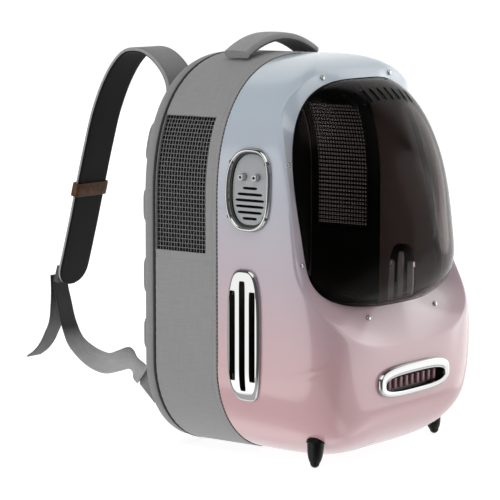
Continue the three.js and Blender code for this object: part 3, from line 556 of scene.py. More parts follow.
def rim_ring(less, back):
    x, z = towards(shrink(WINDOW_OVAL, less), SPOKES[:, 0], SPOKES[:, 2])
    return columns(x, rim_y(x, z) + back, z)


def shell_skin(inset, rows):
    """Rings of one skin of the shell from the seam to the crease."""
    seam = body_ring(SHELL_PLACES, inset, SEAM_Y - SEAM_GAP)
    crease = crease_ring(inset)
    share = np.linspace(0, 1, TRAIL_POINTS)[:, None] ** TRAIL_EASE
    x = seam[:, 0] + (crease[:, 0] - seam[:, 0]) * share
    z = seam[:, 2] + (crease[:, 2] - seam[:, 2]) * share
    trails = columns(x, np.minimum(SEAM_Y - SEAM_GAP, shell_y(x, z, inset)), z)
    return np.stack([evenly(trails[:, k], rows) for k in range(trails.shape[1])], axis=1)


def rounded_crease(skin):
    """A skin whose last rings turn onto the band in a small round."""
    before, crease, rim = skin[-3], skin[-1], rim_ring(0, 0)
    after = crease + unit(rim - crease) * CREASE_ROUND
    turn = [before * (1 - t) ** 2 + crease * 2 * t * (1 - t) + after * t ** 2 for t in CREASE_STEPS]
    flat = [after + (rim - after) * share for share in BAND_STEPS]
    return [*skin[:-2], *turn, *flat]


seam_edge = body_ring(SHELL_PLACES, SEAM_ROUND, SEAM_Y - SEAM_GAP)
outer = [seam_edge, *rounded_crease(shell_skin(0, OUTER_ROWS))[1:]]
inner = [*shell_skin(WALL, INNER_ROWS), rim_ring(0, WALL)]
shell_shape = loft([*outer, *inner[::-1]], wrap=True)
shell_inside = stripe(len(outer) + len(inner), len(SPOKES), len(outer) - 1)
print("shell:", len(shell_shape[0]), "points")

# %% Shell finish
SHELL_FADE = [
    (0.00, (0.61, 0.335, 0.36)),
    (0.24, (0.59, 0.37, 0.39)),
    (0.46, (0.47, 0.375, 0.425)),
    (0.66, (0.41, 0.42, 0.485)),
    (0.86, (0.50, 0.57, 0.64)),
    (1.00, (0.54, 0.62, 0.69)),
]
FADE_DRIFT = 0.015
shell_paint = surface("pearl_fade_paint", Coat_Weight=0.6, Coat_Roughness=0.04)
tree = shell_paint.node_tree
share = math_node(tree, "DIVIDE", own_height(tree), BODY_HEIGHT * MM)
drift = math_node(tree, "ADD", share, spread(tree, noise(tree, 60), -FADE_DRIFT, FADE_DRIFT))
feed(
    shell_paint,
    Base_Color=ramp(tree, drift, SHELL_FADE),
    Roughness=spread(tree, noise(tree, 25, 4), 0.2, 0.3),
    Normal=bump(tree, noise(tree, 2.5, 1), 0.006),
)
shell_lining = grained("bare_moulding_inside", (0.66, 0.60, 0.58), 0.6, 1.2, 0.03)
print("shell finish: fade of", len(SHELL_FADE), "stops")

# %% Shell openings
Fitting = namedtuple("Fitting", "y z half_y half_z power")
VENT = Fitting(-87.5, 300, 30, 45, 2.7)
LOUVRE = Fitting(-82.5, 142, 22, 72.5, 3.4)
GRILLE_Z, GRILLE_HALF_X, GRILLE_HALF_Z, GRILLE_POWER = 88, 68.5, 18, 3.2
VENT_HOLE, LOUVRE_HOLE, GRILLE_HOLE = 3.2, 3, 2
SIDE_CUT_FROM, FRONT_CUT_FROM, CUT_LENGTH = 90, -260, 120
SLOT_POINTS = 40


def side_plug(side, y, z, half_y, half_z, power, count=SLOT_POINTS):
    """A plug through one side of the body, for cutting."""
    a, b = oval(half_y, half_z, power, count)
    return prism(columns(side * SIDE_CUT_FROM, y + a, z + b), (side * CUT_LENGTH, 0, 0))


def side_hole(side, spec, less):
    """The plug of a whole fitting."""
    half_y, half_z = spec.half_y - less, spec.half_z - less
    return side_plug(side, spec.y, spec.z, half_y, half_z, spec.power, RING_POINTS)


a, b = oval(GRILLE_HALF_X - GRILLE_HOLE, GRILLE_HALF_Z - GRILLE_HOLE, GRILLE_POWER)
openings = [
    side_hole(LEFT, VENT, VENT_HOLE),
    side_hole(LEFT, LOUVRE, LOUVRE_HOLE),
    side_hole(RIGHT, LOUVRE, LOUVRE_HOLE),
    prism(columns(a, FRONT_CUT_FROM, GRILLE_Z + b), (0, CUT_LENGTH, 0)),
]
shell = add("moulded_shell", shell_shape, [shell_paint, shell_lining], "shell_gloss", "front_shell",
            skin=shell_inside, sharp=24, cuts=openings)
print("shell:", len(shell.data.polygons), "faces after cutting")

# %% [markdown]
# ## Smoked window
# The window is a vacuum-formed bubble of smoke-tinted sheet, steep at the rim and full in the middle,
# with a row of air slots near its top. It has a real thickness, because a clear sheet bends light at
# both its faces. Its flange lies behind the band of the shell. Flange and slot walls are painted near
# black as shade.

# %% Smoked window
DOME_TOP_Y, DOME_TOP_Z, DOME_WALL, DOME_EASE = -221.5, 246, 2.5, 0.8
DOME_SWELL, DOME_SQUARE, TIP_BLUR = 1.54, 1.5, 0.15
DOME_ROWS, DOME_START = 52, 0.004
FLANGE_SHARE, FLANGE_FRONT, FLANGE_BACK = 0.4, 2.6, 4.6
SLOT_COUNT, SLOT_PITCH, SLOT_HALF_LENGTH, SLOT_HALF_WIDTH, SLOT_POWER = 9, 13.7, 6.5, 2.25, 4
SLOT_Z, SLOT_DROOP, SLOT_CUT_FROM, SLOT_CUT_LENGTH, SLOT_SIDES = 397.5, 0.002, -240, 150, 32
dome_rim = rim_ring(DOME_EASE, 0)


def swell(reach):
    return (reach ** 2 + TIP_BLUR ** 2) ** (DOME_SWELL / 2) - TIP_BLUR ** DOME_SWELL


def dome_ring(reach, wall):
    """A ring of the bubble; reach is 0 at its tip and 1 at its rim."""
    fall = 1 - (1 - min(swell(reach) / swell(1), 1)) ** (1 / DOME_SQUARE)
    size = 1 - wall / BODY_HALF_WIDTH
    return columns(
        dome_rim[:, 0] * reach * size,
        DOME_TOP_Y + (dome_rim[:, 1] - DOME_TOP_Y) * fall + wall,
        DOME_TOP_Z + (dome_rim[:, 2] - DOME_TOP_Z) * reach * size,
    )


def air_slot(index):
    """One slot near the bubble's top, leaning with the fan of slots."""
    x = (index - (SLOT_COUNT - 1) / 2) * SLOT_PITCH
    lean = 2 * SLOT_DROOP * x
    across, up = oval(SLOT_HALF_WIDTH, SLOT_HALF_LENGTH, SLOT_POWER, SLOT_SIDES)
    z = SLOT_Z - SLOT_DROOP * x * x + up - across * lean
    return prism(columns(x + across + up * lean, SLOT_CUT_FROM, z), (0, SLOT_CUT_LENGTH, 0))


reaches = np.sin(np.linspace(DOME_START, math.pi / 2, DOME_ROWS)) ** (2 / DOME_SWELL)
flange = rim_ring(0, WALL) * (1 - FLANGE_SHARE) + crease_ring(WALL) * FLANGE_SHARE
flange_rings = [
    rim_ring(DOME_EASE, WALL + FLANGE_FRONT),
    flange + [0, FLANGE_FRONT, 0],
    flange + [0, FLANGE_BACK, 0],
    rim_ring(DOME_EASE + DOME_WALL, WALL + FLANGE_BACK),
]
front_rings = [dome_ring(reach, 0) for reach in reaches]
back_rings = [dome_ring(reach, DOME_WALL) for reach in reaches[::-1]]
dome_rings = [*front_rings, *flange_rings, *back_rings]

smoke = surface("smoked_clear_sheet", Base_Color=(0.9, 0.89, 0.88), Transmission_Weight=1.0, IOR=1.13)
tree = smoke.node_tree
feed(
    smoke,
    Roughness=spread(tree, noise(tree, 40), 0.0, 0.008),
    Normal=bump(tree, noise(tree, 90, 1), 0.01),
)
tint = node(tree, "VolumeAbsorption", {"Color": (0.24, 0.10, 0.07, 1), "Density": 320.0})
tree.links.new(tint.outputs[0], tree.nodes["Material Output"].inputs["Volume"])
# Painted shade: the flange and the air slots' walls are near black, for the dark inside the window.
painted_lip_shade = grained("window_lip_painted_shade", grey(0.006), 0.5, 0.8, 0.02)
first, last = DOME_ROWS - 1, DOME_ROWS + len(flange_rings)
dome_skin = stripe(len(dome_rings) - 1, len(SPOKES), first, last) + [0, 0]
air_slots = [air_slot(index) for index in range(SLOT_COUNT)]
dome = add("smoked_bubble", loft(dome_rings), [smoke, painted_lip_shade], "smoke_window", "window_dome",
           skin=dome_skin, sharp=40, cuts=air_slots, inside=painted_lip_shade)
print("window:", len(dome.data.polygons), "faces,", SLOT_COUNT, "slots")

# %% [markdown]
# ## Screws
# Small bright screws hold the window, and darker ones the vent. Each is a low dome turned on a lathe. It
# catches one highlight, which is all that shows of a screw at this distance.

# %% Screws
WINDOW_SCREWS = [(64.5, 417, 0.62), (141, 328.4, 0.66), (139.5, 222, 0.36), (65.5, 160, 0.3)]
VENT_SCREWS = [(23.5, 29), (-23.5, 29), (23.5, -29), (-23.5, -29)]
WINDOW_SCREW_SIZE, WINDOW_SCREW_LIFT = (2.9, 1.8), 0.4
VENT_SCREW_SIZE, VENT_SCREW_LIFT = (2.6, 1.6), 3.3
SCREW_STEM, SCREW_EDGE, SCREW_ROUND, SCREW_STEPS, SCREW_SIDES = 2.2, 0.35, 0.6, 7, 32
NEARBY_SHARE, NEARBY = 0.01, 0.5
chrome = grained("bright_chrome", (0.46, 0.465, 0.46), 0.06, 4, 0.004, swing=0.05, Metallic=1.0)
dark_steel = grained("dark_steel", grey(0.10), 0.16, 2, 0.004, swing=0.05, Metallic=1.0)


def screw(name, number, at, axis, size, metal):
    radius, rise = size
    profile = [(radius * SCREW_ROUND, -SCREW_STEM), (radius, -SCREW_STEM), (radius, rise * SCREW_EDGE)]
    for t in np.linspace(0, math.pi / 2, SCREW_STEPS)[1:]:
        height = SCREW_EDGE + (1 - SCREW_EDGE) * math.sin(t)
        profile.append((radius * math.cos(t) ** SCREW_ROUND, rise * height))
    shape = lathe(profile, at, axis, SCREW_SIDES)
    add(f"{name}_head_{number}", shape, [metal], "chrome_trim", f"{name}_{number}", sharp=40)


def band_point(x, z, share):
    """A point of the flat band round the window, from its rim (share 0) to its crease (share 1)."""
    rim, crease = towards(WINDOW_OVAL, x, z), towards(CREASE_OVAL, x, z)
    inner_point = columns(rim[0], rim_y(*rim), rim[1])
    outer_point = columns(crease[0], shell_y(*crease), crease[1])
    return inner_point + (outer_point - inner_point) * share


def band_normal(x, z, share):
    up = z - OVAL_CENTRE
    ahead, behind = (band_point(x - by * up, z + by * x, share) for by in (NEARBY_SHARE, -NEARBY_SHARE))
    normal = np.cross(ahead - behind, band_point(x, z, 1) - band_point(x, z, 0))
    return -unit(normal) * np.sign(normal[1])


def on_side(side, spec, a, b, lift):
    """A point of a fitting on one side of the shell, lift mm off the surface."""
    y, z = spec.y + a, spec.z + b
    return columns(side * (shell_x(y, z) + lift), y, z)


def side_normal(side, spec, a, b):
    along_y = on_side(side, spec, a + NEARBY, b, 0) - on_side(side, spec, a - NEARBY, b, 0)
    along_z = on_side(side, spec, a, b + NEARBY, 0) - on_side(side, spec, a, b - NEARBY, 0)
    return unit(np.cross(along_y, along_z) * side)


window_places = [(side * x, z, share) for x, z, share in WINDOW_SCREWS for side in (LEFT, RIGHT)]
for number, place in enumerate(window_places, 1):
    normal = band_normal(*place)
    seat = band_point(*place) + normal * WINDOW_SCREW_LIFT
    screw("window_screw", number, seat, normal, WINDOW_SCREW_SIZE, chrome)
for number, (a, b) in enumerate(VENT_SCREWS, 1):
    seat, normal = on_side(LEFT, VENT, a, b, VENT_SCREW_LIFT), side_normal(LEFT, VENT, a, b)
    screw("vent_screw", number, seat, normal, VENT_SCREW_SIZE, dark_steel)
print("screws:", len(window_places) + len(VENT_SCREWS))

# %% [markdown]
# ## Control vent
# On the left side a chrome ring frames a grey plate with six slots and two sprung pegs. The ring is a
# rounded bead laid along the shell's own curve. The plate sits a little lower inside it.

# %% Control vent
VENT_RIM, VENT_BEAD, SLEEVE_DEPTH, SLEEVE_LESS = 6.5, 5.1, -6, VENT_HOLE + 0.6
BEAD_SEAT, BEAD_CREST, BEAD_STEPS, FACE_STEPS = 0.3, 5.0, 15, 8
VENT_SLEEVE = [
    (5.6, 0.2), (VENT_RIM, 0.0), (VENT_RIM, SLEEVE_DEPTH), (SLEEVE_LESS, SLEEVE_DEPTH),
    (SLEEVE_LESS, BEAD_SEAT)]
PLATE_LESS, PLATE_TOP, PLATE_BACK = 7.1, -2, -4.5
VENT_SLOTS = [(1.6, 9.4), (-4.9, 16.4), (-11.4, 19), (-17.9, 18.6), (-24.4, 16), (-30.9, 9.6)]
VENT_SLOT_HALF_HEIGHT, VENT_SLOT_POWER, PEG_HOLE, CIRCLE = 1.5, 5, 4.1, 2
PEGS = [(-9, 13.5), (9, 13.5)]
PEG_PROFILE = [
    (0.02, -8), (5, -8), (5, -6.5), (3.6, -6.5), (3.6, 5.6), (3.45, 6.3), (3.1, 6.8), (2.6, 7), (2.1, 6.95),
    (1.75, 6.6), (1.3, 6.1), (0.7, 5.85), (0.02, 5.8)]
PEG_DIMPLE = 9


def side_ring(side, spec, less, lift, size=1.0):
    """A ring of a fitting, drawn in by less mm and then scaled by size."""
    a, b = oval((spec.half_y - less) * size, (spec.half_z - less) * size, spec.power)
    return on_side(side, spec, a, b, lift)


def bead(rim):
    """(less, lift) rows across a rounded rim."""
    turn, rise = np.linspace(0, math.pi, BEAD_STEPS), BEAD_CREST - BEAD_SEAT
    return [(rim * (1 - math.cos(t)) / 2, BEAD_SEAT + rise * math.sin(t)) for t in turn]


# Painted shade: slot walls, the vent ring's inner sleeve and the peg dimples are near black, for the shade
# inside these recesses.
painted_recess_shade = grained("recess_wall_painted_shade", grey(0.008), 0.4, 0.8, 0.02)
satin = grained("satin_grey_moulding", (0.36, 0.375, 0.385), 0.42, 0.7, 0.03)
peg_metal = grained("satin_peg_metal", (0.55, 0.56, 0.57), 0.3, 0.7, 0.02, Metallic=0.85)

vent_bead = bead(VENT_BEAD)
ring_shape = loft([side_ring(LEFT, VENT, *row) for row in [*vent_bead, *VENT_SLEEVE]], wrap=True)
# The ring's inner sleeve takes the painted shade.
ring_skin = stripe(len(vent_bead) + len(VENT_SLEEVE), RING_POINTS, len(vent_bead) - 1)
add("vent_ring", ring_shape, [chrome, painted_recess_shade], "chrome_trim", "vent_frame", skin=ring_skin, sharp=40)

growing = np.linspace(TIP, 1, FACE_STEPS)
plate_rows = [(PLATE_BACK, size) for size in growing] + [(PLATE_TOP, size) for size in growing[::-1]]
plate_shape = loft([side_ring(LEFT, VENT, PLATE_LESS, *row) for row in plate_rows])
plugs = [
    side_plug(LEFT, VENT.y, VENT.z + b, half, VENT_SLOT_HALF_HEIGHT, VENT_SLOT_POWER)
    for b, half in VENT_SLOTS]
plugs += [side_plug(LEFT, VENT.y + a, VENT.z + b, PEG_HOLE, PEG_HOLE, CIRCLE) for a, b in PEGS]
add("vent_face", plate_shape, [satin], "vent_grey", "vent_plate", sharp=35, cuts=plugs, inside=painted_recess_shade)

# The dimple in each peg's end is painted near black as shade.
peg_skin = stripe(len(PEG_PROFILE) - 1, LATHE_SIDES, PEG_DIMPLE) + [0, 1]
for number, (a, b) in enumerate(PEGS, 1):
    shape = lathe(PEG_PROFILE, on_side(LEFT, VENT, a, b, PLATE_TOP), (LEFT, 0, 0))
    add(f"vent_peg_{number}", shape, [peg_metal, painted_recess_shade], "chrome_trim", f"vent_button_{number}",
        body=f"button_{number}", skin=peg_skin, sharp=45)
print("vent: ring, plate with", len(VENT_SLOTS), "slots,", len(PEGS), "pegs")

# %% [markdown]
# ## Side louvres
# Low on each side a long bright louvre lets air through three upright slots. It is a raised block with
# steep rounded sides, so its front side mirrors the dark studio and its face mirrors the light one. The
# slots are nearly square at their ends, and their walls are painted near black as shade.

# %% Side louvres
LOUVRE_EDGE, LOUVRE_DEPTH = 3.6, -6
LOUVRE_FACE_LESS, LOUVRE_FACE = 5.2, 5.4
LOUVRE_ROWS = [
    (LOUVRE_EDGE, LOUVRE_DEPTH), (LOUVRE_EDGE, 0.3), (0, 0.3), (0.1, 1.4), (0.5, 2.8), (1.2, 4.0), (2.2, 4.8),
    (3.6, 5.25), (LOUVRE_FACE_LESS, LOUVRE_FACE)]
LOUVRE_SLOTS = [(-13.3, 49), (0, 60), (13.3, 49)]
LOUVRE_SLOT_HALF_WIDTH, LOUVRE_SLOT_POWER = 4.0, 12
shrinking = np.linspace(FACE_START, TIP, FACE_STEPS)
louvre_rows = LOUVRE_ROWS + [(LOUVRE_FACE_LESS, LOUVRE_FACE, size) for size in shrinking]
for word, side in SIDES.items():
    shape = loft([side_ring(side, LOUVRE, *row) for row in louvre_rows])
    plugs = [
        side_plug(side, LOUVRE.y + a, LOUVRE.z, LOUVRE_SLOT_HALF_WIDTH, half, LOUVRE_SLOT_POWER)
        for a, half in LOUVRE_SLOTS]
    add(f"louvre_{word}", shape, [chrome], "chrome_trim", f"side_louvre_{word}",
        sharp=35, cuts=plugs, inside=painted_recess_shade)
print("louvres: 2, with", len(LOUVRE_SLOTS), "slots each")

# %% [markdown]
# ## Front grille
# Under the window a chrome bezel holds nine pink fins, darkened as painted shade, in front of a black
# tray. The bezel follows the curve of the front. Its mouth sits low, so the band above the mouth is wide.

# %% Front grille
MOUTH_HALF_X, MOUTH_HALF_Z, MOUTH_POWER, MOUTH_Z = 58, 9, 3, 85.5
BEZEL_BEAD = 5.0
BEZEL_ROWS = [
    (0.25, 4.925, 2.5, 1.2), (0.5, 4.85, 2.5, 1.2), (0.75, 4.775, 2.5, 1.2), (1, 4.7, 2.5, 1.2),
    (1, 4.3, 2.5, 0.3), (1, 3.0, 2.5, 0), (1, -6, 2.5, 0), (0, -6, 2.6, 0), (0, 0.5, 2.6, 0)]
FIN_COUNT, FIN_PITCH, FIN_WIDTH, FIN_DEPTH, FIN_POWER, FIN_BACK = 9, 11, 5.4, 4, 3.4, 0.5
FIN_RINGS = [(-6, 0.8), (-5.6, 1), (0, 1), (5.6, 1), (6, 0.8)]
RAIL_HALF_LENGTH, RAIL_HALF_HEIGHT, RAIL_DEPTH, RAIL_POWER, RAIL_UP = 50, 0.7, 1.2, 6, 3.2
FIN_POINTS, RAIL_POINTS = 32, 48


def grille_ring(share, lift, less, grow):
    """A ring of the bezel between its outer edge (share 0) and its mouth (share 1)."""
    a, b = oval(GRILLE_HALF_X - less, GRILLE_HALF_Z - less, GRILLE_POWER)
    c, d = oval(MOUTH_HALF_X + grow, MOUTH_HALF_Z + grow, MOUTH_POWER)
    x = a + (c - a) * share
    z = GRILLE_Z + b + (MOUTH_Z + d - GRILLE_Z - b) * share
    return columns(x, shell_y(x, z) - lift, z)


bezel_rows = [(0, lift, less, 0) for less, lift in bead(BEZEL_BEAD) if less <= BEZEL_BEAD / 2]
bezel_shape = loft([grille_ring(*row) for row in bezel_rows + BEZEL_ROWS], wrap=True)
add("grille_bezel", bezel_shape, [chrome], "chrome_trim", "grille_frame", sharp=40)
dress("grille_tray", grained("tray_black_moulding", grey(0.012), 0.5, 0.8, 0.03))

fin_front = float(shell_y(0.0, GRILLE_Z)) + FIN_BACK
fin_x, fin_y = oval(FIN_WIDTH / 2, FIN_DEPTH / 2, FIN_POWER, FIN_POINTS)
rail_x, rail_z = oval(RAIL_HALF_LENGTH, RAIL_HALF_HEIGHT, RAIL_POWER, RAIL_POINTS)
fin_shapes = []
for index in range(FIN_COUNT):
    x = (index - (FIN_COUNT - 1) / 2) * FIN_PITCH
    fin_shapes.append(loft([
        columns(x + fin_x * size, fin_front + FIN_DEPTH / 2 + fin_y * size, MOUTH_Z + up)
        for up, size in FIN_RINGS
    ]))
for up in (-RAIL_UP, RAIL_UP):
    ring = columns(rail_x, fin_front + FIN_DEPTH - RAIL_DEPTH, MOUTH_Z + up + rail_z)
    fin_shapes.append(prism(ring, (0, RAIL_DEPTH, 0)))
# Painted shade: the fins are a much darker pink than the shell, for the shade inside the grille.
fin_pink = grained("pink_fin_painted_shade", (0.23, 0.105, 0.125), 0.38, 0.6, 0.03)
add("grille_slats", merge(fin_shapes), [fin_pink], "fin_pink", "grille_fins")
print("grille:", FIN_COUNT, "fins")

# %% [markdown]
# ## Feet
# Two tapered rubber feet splay out from the lower front corners, each with a collar where it leaves the
# shell. They are turned on a lathe along their slanted axis.

# %% Feet
FOOT_X, FOOT_Y, FOOT_TIP_RADIUS = 117.6, -149.7, 5.2
FOOT_SIDE = [
    (6.4, 2.0), (7.5, 5), (8.3, 8.5), (8.8, 12.5), (9.1, 17), (9.2, 21), (10.3, 21.6), (10.5, 22.8),
    (9.6, 24), (9.2, 34)]
FOOT_LEAN, FOOT_BACK, FOOT_RISE = 3, 1, 23
TIP_FROM, TIP_TO, TIP_STEPS = 0.01, 1.5, 9
rubber = grained("black_rubber", grey(0.003), 0.42, 0.5, 0.05, swing=0.1, Specular_IOR_Level=0.2)
foot_turn = np.linspace(TIP_FROM, TIP_TO, TIP_STEPS)
foot_tip = [(FOOT_TIP_RADIUS * math.sin(t), -FOOT_TIP_RADIUS * math.cos(t)) for t in foot_turn]
for word, side in SIDES.items():
    at, axis = (side * FOOT_X, FOOT_Y, FOOT_TIP_RADIUS), (-side * FOOT_LEAN, FOOT_BACK, FOOT_RISE)
    foot_shape = lathe(foot_tip + FOOT_SIDE, at, axis)
    add(f"foot_{word}", foot_shape, [rubber], "foot_rubber", f"front_foot_{word}")
print("feet: 2")

# %% [markdown]
# ## Cloth wall
# Behind the shell a wall of grey cloth runs round the body, with a window cut in each side for the net.
# The wall is stretched over the body, so it is a smooth sheet: a sewn line near its front edge, a
# crosswise seam under each window, and slight puckers where the thread pulls. Its inside is black.

# %% Cloth wall
CLOTH_FRONT_Y, CLOTH_BACK_Y, CLOTH_THICK = -43.6, 41.6, 2
NET_FRONT_Y, NET_BACK_Y, NET_LOW, NET_HIGH = -29, 40.6, 227, 374.5
HEM_HEIGHT, HEM_WIDTH, HEM_TURN, SEW_LINE = 218, 4, 1.2, 4.5
HEM_DENT, SEW_DENT = (0.55, 0.9), (0.35, 0.8)
HEM_ROWS, SEW_ROWS, EDGE_ROW = [-1.6, -0.8, 0, 0.8, 1.6], [-0.9, 0, 0.9], 0.8
PUCKER_DEPTH, PUCKER_FADE, PUCKER_PITCH = 0.25, 7, 10.5
EDGE_TURN, WALL_EASE, INWARDS, CLOSE = 0.5, 0.2, 10, 0.01
WALL_COLUMNS, WALL_ROWS, CORNERS = 150, 36, 4

net_low, net_high, hem = (float(outline_place(z)) for z in (NET_LOW, NET_HIGH, HEM_HEIGHT))
wall_places = np.unique(np.round(np.concatenate([
    np.linspace(0, HALF_LENGTH, WALL_COLUMNS),
    [net_low, net_low - HEM_TURN, net_low - HEM_WIDTH, net_high, net_high + HEM_TURN, net_high + HEM_WIDTH],
    hem + np.array(HEM_ROWS),
]), 4))
wall_depths = np.unique(np.concatenate([
    np.linspace(CLOTH_FRONT_Y, CLOTH_BACK_Y, WALL_ROWS),
    [CLOTH_FRONT_Y + EDGE_ROW, CLOTH_BACK_Y - EDGE_ROW],
    [NET_FRONT_Y, NET_FRONT_Y - HEM_TURN, NET_FRONT_Y - HEM_WIDTH, NET_BACK_Y],
    CLOTH_FRONT_Y + SEW_LINE + np.array(SEW_ROWS),
]))
round_way = np.concatenate([wall_places, 2 * HALF_LENGTH - wall_places[-2:0:-1]])
mirrored = np.minimum(round_way, 2 * HALF_LENGTH - round_way)


def dent(distance, depth, width):
    return depth * np.exp(-(distance / width) ** 2)


def wall_inset(y):
    """How far the cloth lies inside the body's outline along one ring."""
    near_edge = min(y - CLOTH_FRONT_Y, CLOTH_BACK_Y - y)
    inset = dent(mirrored - hem, *HEM_DENT) + dent(y - CLOTH_FRONT_Y - SEW_LINE, *SEW_DENT)
    ripple = np.sin(round_way * 2 * math.pi / PUCKER_PITCH)
    inset = inset + PUCKER_DEPTH * math.exp(-near_edge / PUCKER_FADE) * ripple
    return inset + (EDGE_TURN if near_edge < EDGE_TURN else 0) + WALL_EASE


def wall_ring(y, extra):
    """The ring at depth y, moved inwards by the wall's inset."""
    ring, deep = body_ring(wall_places, 0, y), body_ring(wall_places, INWARDS, y)
    return ring + (deep - ring) / INWARDS * (wall_inset(y) + extra)[:, None]


outside = [wall_ring(y, 0) for y in wall_depths]
inside = [wall_ring(y, CLOTH_THICK) for y in wall_depths[::-1]]
wall_points, wall_faces, wall_uv = loft(outside + inside, wrap=True)
wall_around, deep = len(round_way), len(wall_depths)
in_window = (mirrored > net_low - CLOSE) & (mirrored < net_high + CLOSE)
kept_faces, kept_uv, kept_skin = [], [], []
for index, face in enumerate(wall_faces):
    row, column = divmod(index, wall_around)
    after = (column + 1) % wall_around
    level = row if row < deep - 1 else 2 * deep - 2 - row
    between = row != deep - 1 and row != 2 * deep - 1
    open_y = between and NET_FRONT_Y <= wall_depths[level] and wall_depths[level + 1] <= NET_BACK_Y
    if open_y and in_window[column] and in_window[after]:
        continue
    kept_faces.append(face)
    kept_uv += wall_uv[index * CORNERS:(index + 1) * CORNERS]
    kept_skin.append(int(deep <= row < 2 * deep - 1))

wall_cloth = cloth("woven_grey_cloth", 0.24, 0.335, 1.3, 0.22)
cabin_lining = cloth("cabin_lining", 0.005, 0.009, 1.3, 0.2)
wall_shape = (wall_points, kept_faces, kept_uv)
wall = piece("cloth_wall", wall_shape, [wall_cloth, cabin_lining], skin=kept_skin, sharp=60)
work = bmesh.new()
work.from_mesh(wall.data)
edges = [edge for edge in work.edges if edge.is_boundary]
bmesh.ops.bridge_loops(work, edges=[edge for edge in edges if edge.verts[0].co.x > 0])
bmesh.ops.bridge_loops(work, edges=[edge for edge in edges if edge.verts[0].co.x < 0])
bmesh.ops.recalc_face_normals(work, faces=work.faces[:])
work.to_mesh(wall.data)
work.free()
fit(wall, "fabric_grey", "side_gusset")

# %% [markdown]
# ## Stitches
# Sewing shows as a row of short threads. Each stitch is a small bead stretched along the seam, and a
# whole row is joined into one mesh. The first row runs round the seam between the shell and the wall;
# its thread is near black, painted shade of the narrow gap along that seam.

# %% Stitches
STITCH_SHAPE = [(0.0, 0.25), (0.2, 0.85), (0.5, 1), (0.8, 0.85), (1.0, 0.25)]
SEAM_STITCH_INSET = 0.9
thread = grained("sewing_thread", grey(0.20), 0.7, 0.3, 0.05)
# Painted shade: the shell seam's thread is near black, for the shade in the gap along the seam.
seam_shade_thread = grained("seam_thread_painted_shade", grey(0.012), 0.7, 0.3, 0.05)


def stitch_row(line, normals, length=3.2, gap=1.6, radius=0.38, closed=False):
    """Stitches along a line of points, standing half out of the surface."""
    line, normals = np.asarray(line, float), np.asarray(normals, float)
    if closed:
        line, normals = np.vstack([line, line[:1]]), np.vstack([normals, normals[:1]])
    along = distances(line)
    turn = turns(THREAD_SIDES)[:, None]
    shapes = []
    for start in np.arange(gap, along[-1] - length, length + gap):
        ends = (start, start + length)
        begin, end = np.stack([np.interp(ends, along, column) for column in line.T], axis=1)
        up = np.array([np.interp(start, along, column) for column in normals.T])
        spoke = radius * (np.cos(turn) * np.cross(unit(end - begin), up) + np.sin(turn) * up)
        shapes.append(loft([begin + (end - begin) * share + spoke * size for share, size in STITCH_SHAPE]))
    return merge(shapes)


def outward(ring):
    """Directions straight out from the body along a ring."""
    along = np.roll(ring, -1, axis=0) - np.roll(ring, 1, axis=0)
    return unit(columns(along[:, 2], 0, -along[:, 0]))


seam_line = body_ring(SHELL_PLACES, SEAM_STITCH_INSET, SEAM_Y)
seam_shape = stitch_row(seam_line, outward(seam_line), length=3.4, gap=1.3, radius=0.5, closed=True)
add("shell_seam_stitches", seam_shape, [seam_shade_thread], "fabric_grey")
print("stitches: shell seam")

# %% [markdown]
# ## Net windows
# The windows are a coarse net: grey threads woven over and under each other with black holes between,
# backed by a thin black gauze that lets a little light through. Each thread is a thin tube whose height
# waves in turn with its neighbours.

# %% Net windows
NET_COLUMNS, NET_ROWS, NET_THREAD, NET_INSET, NET_WAVE = 18, 31, 0.33, 3.0, 0.35
STEPS_PER_HOLE = 4
NET_TUCK, NET_END, THREAD_TUCK = 3, 0.4, 1
GAUZE_INSET, GAUZE_THICK, GAUZE_TUCK = 5.2, 0.3, 4
net_grey = grained("net_thread", grey(0.27), 0.75, 0.5, 0.08)
gauze = surface("black_gauze", Base_Color=grey(0.004), Roughness=0.9)
tree = gauze.node_tree
holes = math_node(tree, "MINIMUM", ridges(tree, "X", 4.8), ridges(tree, "Y", 4.0))
feed(gauze, Alpha=spread(tree, holes, 1.0, 0.64, 0.4, 0.6))
net_places = np.linspace(net_low - NET_TUCK, net_high + NET_TUCK, STEPS_PER_HOLE * NET_ROWS + 1)
net_depths = np.linspace(NET_FRONT_Y - NET_TUCK, CLOTH_BACK_Y - NET_END, STEPS_PER_HOLE * NET_COLUMNS + 1)


def on_wall(side, place, y, inset):
    """Points inside the cloth wall at places along the outline's half."""
    x, z = (np.interp(place, OUTLINE_ALONG, values) for values in half_outline(inset))
    return columns(side * x, y, z)


def tube(points, radius):
    """A thin tube along points on a wall that faces sideways."""
    along = unit(np.gradient(points, axis=0))
    out = unit(np.array([1.0, 0, 0]) - along * along[:, :1])
    across = np.cross(along, out)
    spokes = [radius * (math.cos(t) * out + math.sin(t) * across) for t in turns(THREAD_SIDES)]
    return loft(np.stack([points + spoke for spoke in spokes], axis=1))


def weave_height(step, number):
    """Height of one thread at a step along it; neighbours take turns to lie on top."""
    return NET_WAVE * math.cos(step * math.pi / STEPS_PER_HOLE + number * math.pi)


